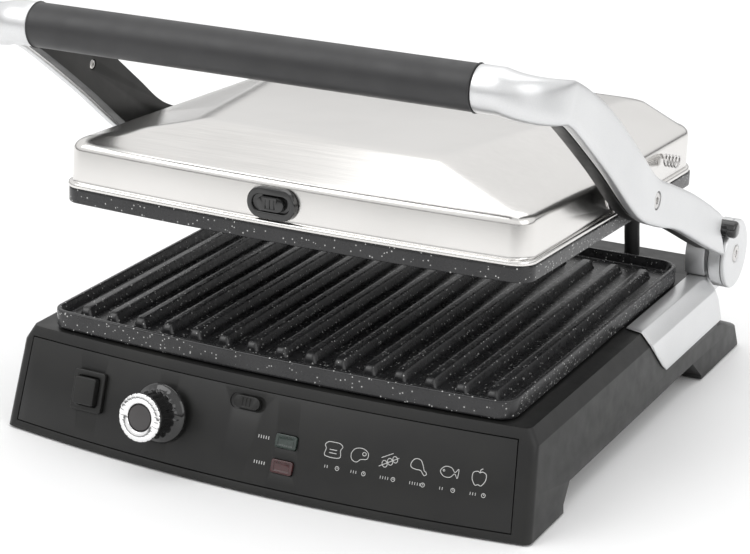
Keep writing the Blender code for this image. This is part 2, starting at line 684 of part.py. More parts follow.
def arm():
    """One lofted body: round collar on the handle axis, bent elbow, flat arm, hinge end."""
    lo, up = arm_outline()
    lo = smooth_path(lo, 3)
    up = smooth_path(up, 3)
    # resample both to the same count
    def resample(p, n):
        p = np.array(p)
        d = np.r_[0, np.cumsum(np.linalg.norm(np.diff(p, axis=0), axis=1))]
        t = np.linspace(0, d[-1], n)
        return np.c_[np.interp(t, d, p[:, 0]), np.interp(t, d, p[:, 1])]
    n = 15
    lo, up = resample(lo, n), resample(up, n)
    m = 16
    rings = []
    # collar, round, along X
    for x in (0.1363, 0.1420, 0.1500):
        rings.append([(x, GRIP[0] + GRIP_R * math.cos(a), GRIP[1] + GRIP_R * math.sin(a)) for a in [math.pi / 2 + 2 * math.pi * k / m for k in range(m)]])
    # elbow: sections turn from facing X to facing along the arm
    def section(c, uu, vv, hu, hv, e):
        ring = []
        for k in range(m):
            a = math.pi / 2 + 2 * math.pi * k / m
            ca, sa = math.cos(a), math.sin(a)
            x = abs(ca) ** (2 / e) * (1 if ca >= 0 else -1)
            y = abs(sa) ** (2 / e) * (1 if sa >= 0 else -1)
            ring.append(tuple(c + uu * (hu * x) + vv * (hv * y)))
        return ring
    first_c = Vector((0.5 * (ARM_X0 + ARM_X1), *(0.5 * (lo[1] + up[1]))))
    start = Vector((0.1500, *GRIP))
    for k in range(1, 6):
        t = k / 6
        ang = t * math.pi / 2
        c = Vector((start.x + (first_c.x - start.x) * math.sin(ang), start.y + (first_c.y - start.y) * (1 - math.cos(ang)), start.z + (first_c.z - start.z) * t))
        # width direction in plan turns from +Y towards -X
        d = up[1] - lo[1]
        vv1 = Vector((0, d[0], d[1])).normalized()
        hv1 = 0.5 * float(np.linalg.norm(d))
        vv = (Vector((0, 0, 1)) * (1 - t) + vv1 * t).normalized()
        uu = Vector((-math.sin(ang), math.cos(ang), 0))
        uu = (uu - vv * uu.dot(vv)).normalized()
        hu = GRIP_R + (0.5 * (ARM_X1 - ARM_X0) - GRIP_R) * t
        hv = GRIP_R + (hv1 - GRIP_R) * t
        rings.append(section(c, uu, vv, hu, hv, 2 + 2.4 * t))
    for k in range(1, n):
        d = up[k] - lo[k]
        c = Vector((0.5 * (ARM_X0 + ARM_X1), *(0.5 * (lo[k] + up[k]))))
        vv = Vector((0, d[0], d[1])).normalized()
        hv = 0.5 * float(np.linalg.norm(d))
        rings.append(section(c, Vector((-1, 0, 0)), vv, 0.5 * (ARM_X1 - ARM_X0), hv, 4.4))
    return loft("arm_right", rings, "satin_aluminium", 40)


ar = arm()
# the hinge eye
eye = lathe("eye", [(0.1655, 0), (0.1655, HINGE_R - 0.0006), (0.1661, HINGE_R), (0.1735, HINGE_R), (0.1735, 0)], (0, *HINGE), (1, 0, 0), "satin_aluminium", 28)
# keep the arm clear of the cap that closes the eye
clear_cap = lathe("cc", [(0.1735, 0), (0.1735, HINGE_R + GAP), (0.19, HINGE_R + GAP), (0.19, 0)], (0, *HINGE), (1, 0, 0), "satin_aluminium", 28)
BTN = (0.2952, 0.0973)       # release button axis, y, z
notch = prism("notch", [(0.2790, 0.1010), (0.2880, 0.1290), (0.3400, 0.1300), (0.3400, 0.0780), (0.2905, 0.0830)], 0.1692, 0.20, "satin_aluminium", "x")
bore_l = [
    rod("hb", 0.0043, 0.15, 0.1731, (0, *HINGE), (1, 0, 0), "steel", 20),
    rod("pb", 0.0031, 0.15, 0.18, (0, *PIVOT), (1, 0, 0), "steel", 20),
    rod("ps", 0.0056, 0.1745, 0.19, (0, *PIVOT), (1, 0, 0), "steel", 24),
    rod("gb", 0.0092, 0.13, 0.1480, (0, *GRIP), (1, 0, 0), "steel", 24),
]
# left arm has no release button: made first, without the notch, then mirrored
carve(ar, [clear_cap])
carve(ar, [eye], "UNION", 40)
carve(ar, bore_l, smooth=40)
al = mirror(ar, "arm_left")
carve(notch, [rod("nn", HINGE_R - 0.0001, 0.16, 0.21, (0, *HINGE), (1, 0, 0), "steel", 28)])
carve(ar, [notch], smooth=40)
carve(ar, [rod("bb", 0.0034, 0.1650, 0.175, (0, *BTN), (1, 0, 0), "steel", 20)], smooth=40)

caps = lathe("hinge_cap_right", [(0.1738, 0), (0.1738, HINGE_R - 0.0006), (0.1742, HINGE_R), (0.1758, HINGE_R), (0.1768, HINGE_R - 0.0011), (0.1768, 0)], (0, *HINGE), (1, 0, 0), "satin_aluminium", 28)
carve(caps, [rod("cs", 0.0058, 0.1755, 0.19, (0, *HINGE), (1, 0, 0), "steel", 24)], smooth=35)
cap_left = mirror(caps, "hinge_cap_left")
hs = lathe("hinge_screw_right", [(0.1758, 0), (0.1758, 0.0054), (0.1766, 0.0054), (0.1768, 0.0049), (0.1768, 0.0024), (0.1762, 0.0024), (0.1762, 0)], (0, *HINGE), (1, 0, 0), "steel", 24)
hs_l = mirror(hs, "hinge_screw_left")
psr = lathe("pivot_screw_right", [(0.1492, 0), (0.1492, 0.0028), (0.1748, 0.0028), (0.1748, 0.0052), (0.1762, 0.0052), (0.1765, 0.0046), (0.1765, 0.0024), (0.1755, 0.0024), (0.1755, 0)], (0, *PIVOT), (1, 0, 0), "steel", 24)
psl = mirror(psr, "pivot_screw_left")

button_r = lathe("release_button", [(0.1718, 0), (0.1718, 0.0056), (0.1815, 0.0056), (0.1826, 0.0048), (0.1830, 0.0036), (0.1830, 0)], (0, *BTN), (1, 0, 0), "gloss_black", 28)
carve(button_r, [rod("bs", 0.0030, 0.1664, 0.1725, (0, *BTN), (1, 0, 0), "steel", 20)], "UNION", 35)

# plastic liners on the inner faces of the arms
def liner():
    lo, up = arm_outline()
    lo = smooth_path(lo, 4)
    up = smooth_path(up, 4)
    lo = [p for p in lo if p[0] > 0.030]
    up = [p for p in up if p[0] > 0.052]
    cy, cz = HINGE
    def cut(side, ins):
        out = []
        for i, p in enumerate(side):
            a = side[max(i - 1, 0)]
            b = side[min(i + 1, len(side) - 1)]
            d = np.array(b) - np.array(a)
            d = d / np.linalg.norm(d)
            nn = np.array([-d[1], d[0]]) * ins
            q = np.array(p) + nn
            if math.hypot(q[0] - cy, q[1] - cz) > 0.0335:
                out.append((float(q[0]), float(q[1])))
        return out
    lo = cut(lo, 0.0010)
    up = cut(up, -0.0010)
    outline = lo + up[::-1]
    return prism("arm_liner_right", outline, LINER_X0, LINER_X1, "black_plastic", "x", 25)


li = liner()
carve(li, [rod("lb", 0.0031, 0.15, 0.18, (0, *PIVOT), (1, 0, 0), "steel", 20)], smooth=25)
lil = mirror(li, "arm_liner_left")
LS = (0.0860, 0.2075)
screws = []
for sx, nm in ((1, "right"), (-1, "left")):
    o = bpy.data.objects["arm_liner_" + nm]
    carve(o, [rod("lc", 0.0034, 0.15, 0.1625, (0, *LS), (1, 0, 0), "steel", 20)] if sx == 1 else [rod("lc", 0.0034, -0.1625, -0.15, (0, *LS), (1, 0, 0), "steel", 20)], smooth=25)
    s = lathe("liner_screw_" + nm, [(0.1608, 0), (0.1608, 0.0028), (0.1622, 0.0031), (0.1622, 0)], (0, *LS), (sx, 0, 0), "steel", 20)
    screws.append(s)

grip = lathe("handle_grip", [(-0.1360, 0.0104), (-0.1360, 0.0131), (-0.1354, GRIP_R), (0.1354, GRIP_R), (0.1360, 0.0131), (0.1360, 0.0104)], (0, *GRIP), (1, 0, 0), "grip_rubber", 32)
bar = rod("handle_tube", 0.0089, -0.1476, 0.1476, (0, *GRIP), (1, 0, 0), "steel", 24)
# inner sleeve clears the tube by the radius difference
core = lathe("handle_core", [(-0.1358, 0.0092), (-0.1358, 0.0101), (0.1358, 0.0101), (0.1358, 0.0092)], (0, *GRIP), (1, 0, 0), "black_plastic", 24)

# stop rings between knuckle and eye, carried by the release joint
stop = lathe("stop_ring_right", [(0.1633, 0.0043), (0.1633, 0.0150), (0.1652, 0.0150), (0.1652, 0.0043)], (0, *HINGE), (1, 0, 0), "steel", 24)
stop_l = mirror(stop, "stop_ring_left")

# pivot bushes between the lid and the arms
bush = lathe("pivot_bush_right", [(0.1460, 0.0031), (0.1460, 0.0050), (0.1500, 0.0050), (0.1500, 0.0098), (0.1518, 0.0098), (0.1518, 0.0160), (0.1590, 0.0160), (0.1598, 0.0152), (0.1602, 0.0140), (0.1602, 0.0031)], (0, *PIVOT), (1, 0, 0), "steel", 24)
bush_l = mirror(bush, "pivot_bush_left")

# ------------------------------------------------------------------ lid (built closed, then carried to rest)
H0 = UP_RIM
LIP = UP_SKIRT + GAP


def lid_ring(hwf, hwr, yf, yr, rf, rr, bow, z):
    return plan(hwf, hwr, yf, yr, rf, rr, bow, z, 4, 6)


HC = 0.0365      # height of the lid's top crease above the plate rim
outer = [
    lid_ring(0.1484, 0.1484, 0.0206, 0.2848, 0.0095, 0.0200, 0.0058, LIP),
    lid_ring(0.1508, 0.1508, 0.0182, 0.2872, 0.0115, 0.0220, 0.0058, LIP + 0.0004),
    lid_ring(0.1514, 0.1514, 0.0176, 0.2880, 0.0121, 0.0225, 0.0058, LIP + 0.0016),
    lid_ring(0.1506, 0.1506, 0.0184, 0.2872, 0.0115, 0.0215, 0.0058, LIP + 0.0030),
    lid_ring(0.1490, 0.1490, 0.0198, 0.2850, 0.0105, 0.0190, 0.0058, LIP + 0.0036),
    lid_ring(0.1486, 0.1486, 0.0204, 0.2846, 0.0110, 0.0160, 0.0060, H0 + HC - 0.0014),
    lid_ring(0.1478, 0.1478, 0.0212, 0.2838, 0.0105, 0.0150, 0.0060, H0 + HC),
    lid_ring(0.1450, 0.1455, 0.0240, 0.2815, 0.0095, 0.0140, 0.0058, H0 + HC + 0.0012),
    lid_ring(0.0830, 0.1170, 0.0560, 0.2720, 0.0080, 0.0100, 0.0020, H0 + HC + 0.0148),
    lid_ring(0.0775, 0.1110, 0.0620, 0.2660, 0.0060, 0.0080, 0.0015, H0 + HC + 0.0156),
]
TH = 0.0012
inner = [
    lid_ring(0.0765, 0.1100, 0.0630, 0.2650, 0.0060, 0.0080, 0.0015, H0 + HC + 0.0156 - TH),
    lid_ring(0.0820, 0.1160, 0.0570, 0.2710, 0.0080, 0.0100, 0.0020, H0 + HC + 0.0147 - TH),
    lid_ring(0.1440, 0.1445, 0.0252, 0.2803, 0.0125, 0.0135, 0.0058, H0 + HC + 0.0011 - TH),
    lid_ring(0.1470, 0.1470, 0.0220, 0.2830, 0.0138, 0.0145, 0.0058, H0 + HC - 0.0016),
    lid_ring(0.1472, 0.1472, 0.0218, 0.2832, 0.0165, 0.0175, 0.0058, LIP + 0.0030),
    lid_ring(0.1472, 0.1472, 0.0218, 0.2832, 0.0165, 0.0175, 0.0058, LIP),
]


def capped_shell(name, outer, inner, kind):
    n = len(outer[0])
    rings = outer + inner
    verts = [v for r in rings for v in r]
    faces = []
    m = len(rings)
    for k in range(m):
        if k == len(outer) - 1:
            continue
        for i in range(n):
            j = (i + 1) % n
            a, b = k * n, ((k + 1) % m) * n
            faces.append((a + i, a + j, b + j, b + i))
    a = (len(outer) - 1) * n
    faces.append(tuple(a + i for i in range(n)))
    a = len(outer) * n
    faces.append(tuple(a + i for i in range(n - 1, -1, -1)))
    return build(name, verts, faces, kind, 30)


shell = capped_shell("lid_shell", outer, inner, "steel")
for sx in (1, -1):
    boss = lathe("boss", [(0.1440, 0), (0.1440, 0.0100), (0.1497, 0.0100), (0.1497, 0)], (0, PIVOT_C[0], PIVOT_C[1]), (sx, 0, 0), "steel", 32)
    carve(shell, [boss], "UNION", 30)
    carve(shell, [rod("bh", 0.0054, 0.1400, 0.16, (0, PIVOT_C[0], PIVOT_C[1]), (sx, 0, 0), "steel", 24)])
# slot for the latch finger in the lid front
LZ = H0 + 0.0232
LX = -0.0045      # the latch sits a little left of the middle
shell_slot = box("sl", LX - 0.0060, LX + 0.0060, 0.0050, 0.0300, LZ - 0.0020, LZ + 0.0020, "steel")
carve(shell, [shell_slot])
on_lid(shell)

upper = plate("upper_plate", UP_RIM, UP_SKIRT, UP_RIM + (PL_RIM - PL_FLOOR), 0.0746, PL_BOW)
on_lid(upper)

ipan = pan("upper_reflector_pan", UP_SKIRT + 0.0010, 0.0960, 0.0006, 0.1300, 0.0400, 0.2660, 0.1400, 0.0330, 0.2740)
on_lid(ipan)
on_lid(element("upper_heating_element", 0.0868, 1, -0.0060))

# latch on the lid front: raised oval bezel with a sliding catch
def lid_face_y(x, z):
    t = (z - (LIP + 0.0036)) / (H0 + HC - 0.0014 - LIP - 0.0036)
    return 0.0198 + 0.0006 * t - (0.0058 + 0.0002 * t) * (1 - (x / 0.1488) ** 2)


LATCH_HW, LATCH_HH = 0.0162, 0.0096
ly = lid_face_y(0, LZ)


def lid_front_prism(name, outline, y0, y1, kind, smooth=30, s1=1.0):
    return loft(name, [[(p[0] * s1, y1, LZ + p[1] * s1) for p in outline], [(p[0], y0, LZ + p[1]) for p in outline]], kind, smooth)


lb = lid_front_prism("upper_latch_bezel", stadium(LATCH_HW, LATCH_HH, 10), ly - GAP - 0.0002, ly - 0.0042, "gloss_black", 30, 0.94)
carve(lb, [lid_front_prism("lr", stadium(0.0122, 0.0050, 8), ly - 0.0022, ly - 0.010, "gloss_black"), box("lf", -0.0058, 0.0058, ly - 0.02, ly + 0.01, LZ - 0.0018, LZ + 0.0018, "gloss_black")], smooth=25)
map_mesh(lb, lambda q: Vector((q[0] + LX, q[1], q[2])))
on_lid(lb)
ls = lid_front_prism("upper_latch_slider", stadium(0.0085, 0.0042, 8), ly - 0.0026, ly - 0.0046, "gloss_black", 25)
carve(ls, [box("lt", -0.0022, 0.0022, ly - 0.0035, ly + 0.0075, LZ - 0.0014, LZ + 0.0014, "gloss_black")], "UNION", 25)
map_mesh(ls, lambda q: Vector((q[0] + LX, q[1], q[2])))
on_lid(ls)

# coil springs that steady the lid, one each side, axis along X
def spring(name):
    pts = []
    turns, R = 4.5, 0.0034
    x0, x1 = 0.1500, 0.1596
    yc, zc = 0.2260, H0 + 0.0265
    n = int(turns * 8)
    for k in range(n + 1):
        t = k / n
        a = 2 * math.pi * turns * t
        pts.append((x0 + (x1 - x0) * t, yc + R * math.cos(a), zc + R * math.sin(a)))
    return tube(name, pts, 0.0006, "steel", 5)


sp = spring("balance_spring_right")
on_lid(sp)
spl = mirror(sp, "balance_spring_left")

# flexible sleeve that carries the lid's wires from the base to the lid
path = smooth_path([
    (0.1080, 0.3080, Z_TOP + 2 * GAP), (0.1080, 0.3080, 0.0700), (0.1068, 0.3090, 0.0850), (0.1050, 0.3150, 0.1020),
    (0.1040, 0.3240, 0.1200), (0.1030, 0.3230, 0.1340), tuple(lid((0.1020, 0.2985, 0.0990))), tuple(lid((0.1020, 0.2904, 0.0985)))], 3)
tube("cable_sleeve", path, 0.0050, "cable", 10)

# ------------------------------------------------------------------ origins on the joint axes, then the shift
hinge_o = (0.0, *HINGE)
pivot_o = (0.0, *PIVOT)
for nm in ("arm_left", "arm_right", "arm_liner_left", "arm_liner_right", "liner_screw_left", "liner_screw_right", "handle_grip", "handle_core", "handle_tube", "hinge_cap_left", "hinge_cap_right", "hinge_screw_left", "hinge_screw_right", "pivot_screw_left", "pivot_screw_right", "stop_ring_left", "stop_ring_right"):
    origin(bpy.data.objects[nm], hinge_o)
for nm in ("pivot_bush_left", "pivot_bush_right", "lid_shell", "upper_plate", "upper_reflector_pan", "upper_heating_element", "upper_latch_bezel", "balance_spring_left", "balance_spring_right"):
    origin(bpy.data.objects[nm], pivot_o)
origin(bpy.data.objects["release_button"], (0.1764, *BTN))
origin(bpy.data.objects["upper_latch_slider"], lid((LX, ly, LZ)))
origin(bpy.data.objects["lower_latch_slider"], face_frame(*LATCH)[0])
origin(bpy.data.objects["push_button"], face_frame(*BUTTON)[0])

for o in bpy.data.objects:
    o.location.x -= XC
    o.location.y -= YC
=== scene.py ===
"""Looks of a panini press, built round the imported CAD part."""
import json
import math

import bmesh
import bpy
import numpy as np
from mathutils import Matrix, Vector


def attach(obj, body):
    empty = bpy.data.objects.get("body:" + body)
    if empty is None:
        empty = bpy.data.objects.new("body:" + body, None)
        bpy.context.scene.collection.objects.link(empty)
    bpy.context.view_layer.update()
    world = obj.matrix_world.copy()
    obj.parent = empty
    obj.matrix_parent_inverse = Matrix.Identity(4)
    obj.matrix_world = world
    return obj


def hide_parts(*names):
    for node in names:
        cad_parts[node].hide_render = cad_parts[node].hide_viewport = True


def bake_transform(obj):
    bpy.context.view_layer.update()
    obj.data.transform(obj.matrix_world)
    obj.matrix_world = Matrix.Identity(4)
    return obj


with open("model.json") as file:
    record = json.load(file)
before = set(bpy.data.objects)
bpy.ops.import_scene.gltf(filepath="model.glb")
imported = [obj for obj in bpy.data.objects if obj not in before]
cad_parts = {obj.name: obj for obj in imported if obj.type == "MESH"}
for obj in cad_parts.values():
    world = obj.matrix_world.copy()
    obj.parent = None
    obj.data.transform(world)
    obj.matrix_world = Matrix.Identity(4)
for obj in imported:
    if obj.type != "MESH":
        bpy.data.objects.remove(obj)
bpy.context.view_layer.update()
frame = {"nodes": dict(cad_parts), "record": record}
NODES = frame["nodes"]

# ------------------------------------------------------------------ dimensions, as in the CAD source (metres)
XC, YC = 0.0028, 0.1616
GAP = 0.0003
BASE_HW0, BASE_HW1, BASE_HW2 = 0.1725, 0.1682, 0.1630
Z_CREASE, Z_TOP, FOOT_Z = 0.0526, 0.0614, 0.0012
LEAN, BOW0, BOW1 = 0.293, 0.0146, 0.0085
PL_HW, PL_YF, PL_YR, PL_BOW = 0.151, 0.0195, 0.2846, 0.0060
PL_RIM, PL_SKIRT, PL_FLOOR = 0.0736, 0.0625, 0.0680
UP_RIM, UP_SKIRT = 0.0745, 0.0838
RIBS, RIB_PITCH = 15, 0.0191
HINGE, HINGE_R = (0.314, 0.075), 0.0225
PIVOT, PIVOT_C = (0.161, 0.1536), (0.1436, 0.0980)
LID_PITCH = math.radians(2.9)
GRIP, GRIP_R = (-0.0035, 0.2538), 0.0127
ARM_X0, ARM_X1 = 0.1685, 0.1768
LINER_X0, LINER_X1 = 0.1605, 0.1682

# ------------------------------------------------------------------ camera
F_PX, WIDTH = 2343.69, 750.0
AZ, EL, ROLL = 0.47061, 0.34439, 0.01399
d = Vector((math.sin(AZ) * math.cos(EL), -math.cos(AZ) * math.cos(EL), math.sin(EL)))
fwd = -d
right = fwd.cross(Vector((0, 0, 1))).normalized()
up = right.cross(fwd).normalized()
r2 = right * math.cos(ROLL) + up * math.sin(ROLL)
u2 = -right * math.sin(ROLL) + up * math.cos(ROLL)
cam_data = bpy.data.cameras.new("camera")
cam = bpy.data.objects.new("camera", cam_data)
bpy.context.scene.collection.objects.link(cam)
m = Matrix.Identity(4)
for i in range(3):
    m[i][0], m[i][1], m[i][2] = r2[i], u2[i], -fwd[i]
m.translation = Vector((0.61638 - XC, -1.06171 - YC, 0.56681))
cam.matrix_world = m
cam_data.sensor_width = 36.0
cam_data.lens = 36.0 * F_PX / WIDTH
cam_data.clip_start, cam_data.clip_end = 0.05, 50
bpy.context.scene.camera = cam


# ------------------------------------------------------------------ materials
def new_mat(name):
    mt = bpy.data.materials.new(name)
    mt.use_nodes = True
    nt = mt.node_tree
    return mt, nt, nt.nodes["Principled BSDF"]


def coords(nt, scale=(1, 1, 1)):
    tc = nt.nodes.new("ShaderNodeTexCoord")
    mp = nt.nodes.new("ShaderNodeMapping")
    mp.inputs["Scale"].default_value = scale
    nt.links.new(tc.outputs["Object"], mp.inputs["Vector"])
    return mp.outputs["Vector"]


def noise(nt, vec, scale, detail=3.0, rough=0.5):
    n = nt.nodes.new("ShaderNodeTexNoise")
    n.inputs["Scale"].default_value = scale
    n.inputs["Detail"].default_value = detail
    n.inputs["Roughness"].default_value = rough
    nt.links.new(vec, n.inputs["Vector"])
    return n.outputs["Fac"]


def ramp(nt, fac, stops):
    r = nt.nodes.new("ShaderNodeValToRGB")
    e = r.color_ramp.elements
    while len(e) < len(stops):
        e.new(0.5)
    for el, (p, c) in zip(e, stops):
        el.position = p
        el.color = (*c, 1) if len(c) == 3 else c
    nt.links.new(fac, r.inputs["Fac"])
    return r.outputs["Color"]


def grey(v):
    return (v, v, v)


def span(nt, fac, a, b):
    mr = nt.nodes.new("ShaderNodeMapRange")
    mr.inputs["To Min"].default_value = a
    mr.inputs["To Max"].default_value = b
    mr.inputs["From Min"].default_value = 0.3
    mr.inputs["From Max"].default_value = 0.7
    nt.links.new(fac, mr.inputs["Value"])
    return mr.outputs["Result"]


def bump(nt, b, height, strength, dist):
    bp = nt.nodes.new("ShaderNodeBump")
    bp.inputs["Strength"].default_value = strength
    bp.inputs["Distance"].default_value = dist
    nt.links.new(height, bp.inputs["Height"])
    nt.links.new(bp.outputs["Normal"], b.inputs["Normal"])


def plastic(name, lo, hi, r0, r1, grain=2600.0, strength=0.25, dist=0.00006, coat=0.0, spec=0.5):
    mt, nt, b = new_mat(name)
    vec = coords(nt)
    soft = noise(nt, vec, 38.0, 4.0)
    nt.links.new(ramp(nt, soft, [(0.30, lo), (0.70, hi)]), b.inputs["Base Color"])
    nt.links.new(span(nt, noise(nt, vec, 90.0, 5.0), r0, r1), b.inputs["Roughness"])
    bump(nt, b, noise(nt, vec, grain, 2.0), strength, dist)
    b.inputs["Specular IOR Level"].default_value = spec
    b.inputs["Coat Weight"].default_value = coat
    b.inputs["Coat Roughness"].default_value = 0.08
    return mt


def brushed(name, lo, hi, r0, r1, stretch, metal=1.0, strength=0.10, dist=0.00003, scale=900.0):
    mt, nt, b = new_mat(name)
    vec = coords(nt, stretch)
    line = noise(nt, vec, scale, 3.0, 0.6)
    cloud = noise(nt, coords(nt), 14.0, 3.0)
    mix = nt.nodes.new("ShaderNodeMath")
    mix.operation = "MULTIPLY_ADD"
    mix.inputs[1].default_value = 0.55
    nt.links.new(line, mix.inputs[0])
    half = nt.nodes.new("ShaderNodeMath")
    half.operation = "MULTIPLY"
    half.inputs[1].default_value = 0.45
    nt.links.new(cloud, half.inputs[0])
    nt.links.new(half.outputs[0], mix.inputs[2])
    nt.links.new(ramp(nt, mix.outputs[0], [(0.34, lo), (0.64, hi)]), b.inputs["Base Color"])
    nt.links.new(span(nt, line, r0, r1), b.inputs["Roughness"])
    b.inputs["Metallic"].default_value = metal
    bump(nt, b, line, strength, dist)
    return mt


def granite():
    """Dark non-stick coating with pale and mid-grey specks."""
    mt, nt, b = new_mat("granite_coat")
    vec = coords(nt)
    base = ramp(nt, noise(nt, vec, 60.0, 4.0), [(0.3, (0.015, 0.015, 0.016)), (0.7, (0.024, 0.024, 0.025))])
    vo = nt.nodes.new("ShaderNodeTexVoronoi")
    vo.inputs["Scale"].default_value = 680.0
    nt.links.new(vec, vo.inputs["Vector"])
    pick = nt.nodes.new("ShaderNodeSeparateColor")
    nt.links.new(vo.outputs["Color"], pick.inputs["Color"])
    few = nt.nodes.new("ShaderNodeMath")
    few.operation = "GREATER_THAN"
    few.inputs[1].default_value = 0.86
    nt.links.new(pick.outputs["Red"], few.inputs[0])
    near = nt.nodes.new("ShaderNodeMath")
    near.operation = "LESS_THAN"
    near.inputs[1].default_value = 0.30
    nt.links.new(vo.outputs["Distance"], near.inputs[0])
    both = nt.nodes.new("ShaderNodeMath")
    both.operation = "MULTIPLY"
    nt.links.new(few.outputs[0], both.inputs[0])
    nt.links.new(near.outputs[0], both.inputs[1])
    mx = nt.nodes.new("ShaderNodeMix")
    mx.data_type = "RGBA"
    nt.links.new(both.outputs[0], mx.inputs["Factor"])
    nt.links.new(base, mx.inputs["A"])
    mx.inputs["B"].default_value = (0.52, 0.52, 0.51, 1)
    nt.links.new(mx.outputs["Result"], b.inputs["Base Color"])
    nt.links.new(span(nt, noise(nt, vec, 240.0, 3.0), 0.22, 0.34), b.inputs["Roughness"])
    bump(nt, b, noise(nt, vec, 1400.0, 2.0), 0.10, 0.00005)
    return mt


def lens(name, lo, hi):
    mt, nt, b = new_mat(name)
    vec = coords(nt)
    nt.links.new(ramp(nt, noise(nt, vec, 300.0, 2.0), [(0.3, lo), (0.7, hi)]), b.inputs["Base Color"])
    nt.links.new(span(nt, noise(nt, vec, 500.0, 2.0), 0.10, 0.18), b.inputs["Roughness"])
    bump(nt, b, noise(nt, vec, 1500.0, 1.0), 0.10, 0.00005)
    b.inputs["Coat Weight"].default_value = 0.6
    b.inputs["Coat Roughness"].default_value = 0.05
    return mt


M = {
    "black_plastic": plastic("black_plastic", (0.010, 0.010, 0.010), (0.014, 0.014, 0.013), 0.34, 0.46, 2600.0, 0.18, 0.00005, 0.0, 0.38),
    "panel_black": plastic("panel_black", (0.012, 0.012, 0.012), (0.016, 0.016, 0.015), 0.30, 0.40, 3000.0, 0.12, 0.00005, 0.0, 0.38),
    "grip_rubber": plastic("grip_rubber", (0.024, 0.024, 0.025), (0.034, 0.034, 0.035), 0.40, 0.52, 2200.0, 0.22, 0.00007),
    "gloss_black": plastic("gloss_black", (0.008, 0.008, 0.008), (0.013, 0.013, 0.013), 0.07, 0.14, 500.0, 0.04, 0.00003, 0.5),
    "cap_grey": plastic("cap_grey", (0.050, 0.047, 0.047), (0.066, 0.062, 0.062), 0.28, 0.38, 1600.0, 0.12, 0.00004),
    "granite": granite(),
    "plate_gloss": plastic("plate_gloss", (0.009, 0.009, 0.009), (0.015, 0.015, 0.014), 0.16, 0.26, 1400.0, 0.08, 0.00003, 0.0, 0.5),
    "lid_steel": brushed("lid_steel", (0.72, 0.705, 0.685), (0.80, 0.785, 0.765), 0.17, 0.24, (0.012, 1.0, 1.0), 1.0, 0.035, 0.00002, 1300.0),
    "steel": brushed("steel", (0.52, 0.51, 0.50), (0.70, 0.69, 0.68), 0.20, 0.32, (1.0, 1.0, 0.1)),
    "satin_aluminium": brushed("satin_silver", (0.66, 0.665, 0.67), (0.76, 0.765, 0.77), 0.30, 0.38, (1, 1, 1), 0.75, 0.10, 0.00003, 2400.0),
    "chrome": brushed("chrome", (0.88, 0.88, 0.88), (0.95, 0.95, 0.95), 0.06, 0.12, (1, 1, 1), 1.0, 0.04, 0.00002, 700.0),
    "element": brushed("element_sheath", (0.14, 0.13, 0.12), (0.26, 0.24, 0.22), 0.35, 0.5, (1, 1, 1), 0.9, 0.2, 0.00005, 600.0),
    "sheet": brushed("pressed_sheet", (0.50, 0.50, 0.50), (0.64, 0.64, 0.64), 0.28, 0.42, (0.05, 1, 1), 1.0, 0.15, 0.00004, 500.0),
    "rubber": plastic("rubber", (0.016, 0.016, 0.016), (0.026, 0.026, 0.026), 0.66, 0.82, 1300.0, 0.35, 0.0001, 0.0, 0.3),
    "green_lens": lens("green_lens", (0.014, 0.024, 0.020), (0.022, 0.036, 0.030)),
    "red_lens": lens("red_lens", (0.040, 0.012, 0.013), (0.060, 0.018, 0.019)),
    "board": plastic("board", (0.03, 0.13, 0.05), (0.06, 0.18, 0.08), 0.4, 0.55),
    "ceramic": plastic("ceramic", (0.70, 0.68, 0.62), (0.80, 0.78, 0.73), 0.35, 0.5),
    "cable": plastic("cable", (0.014, 0.014, 0.014), (0.024, 0.024, 0.024), 0.45, 0.6, 900.0, 0.3, 0.0001),
    "print": plastic("print_grey", (0.44, 0.44, 0.43), (0.54, 0.54, 0.53), 0.5, 0.65, 2000.0, 0.1, 0.00002),
    "dark_slot": plastic("dark_slot", (0.006, 0.006, 0.006), (0.010, 0.010, 0.010), 0.5, 0.7),
}
M["brushed_steel"] = M["lid_steel"]

for s in frame["record"]["subparts"]:
    o = NODES[s["node"]]
    o.data.materials.clear()
    o.data.materials.append(M[s["material_slot"]])


# ------------------------------------------------------------------ mesh helpers
def build(name, verts, faces, kind, smooth=30):
    me = bpy.data.meshes.new(name)
    me.from_pydata([tuple(v) for v in verts], [], [tuple(f) for f in faces])
    me.validate()
    ob = bpy.data.objects.new(name, me)
    bpy.context.scene.collection.objects.link(ob)
    me.materials.append(M[kind])
    bm = bmesh.new()
    bm.from_mesh(me)
    bmesh.ops.recalc_face_normals(bm, faces=bm.faces)
    if bm.calc_volume(signed=True) < 0:
        bmesh.ops.reverse_faces(bm, faces=bm.faces)
    bm.to_mesh(me)
    bm.free()
    if smooth:
        soften(me, smooth)
    ob["kind"] = kind
    return ob


def soften(me, angle):
    for p in me.polygons:
        p.use_smooth = True
    me.set_sharp_from_angle(angle=math.radians(angle))


def loft(name, rings, kind, smooth=30, close=False):
    n = len(rings[0])
    verts = [v for r in rings for v in r]
    faces = []
    m = len(rings)
    for k in range(m if close else m - 1):
        for i in range(n):
            j = (i + 1) % n
            a, b = k * n, ((k + 1) % m) * n
            faces.append((a + i, a + j, b + j, b + i))
    if not close:
        faces.append(tuple(range(n - 1, -1, -1)))
        faces.append(tuple((m - 1) * n + i for i in range(n)))
    return build(name, verts, faces, kind, smooth)


def prism(name, outline, a, b, kind, axis="x", smooth=30):
    def put(p, t):
        return (t, p[0], p[1]) if axis == "x" else ((p[0], t, p[1]) if axis == "y" else (p[0], p[1], t))
    return loft(name, [[put(p, a) for p in outline], [put(p, b) for p in outline]], kind, smooth)


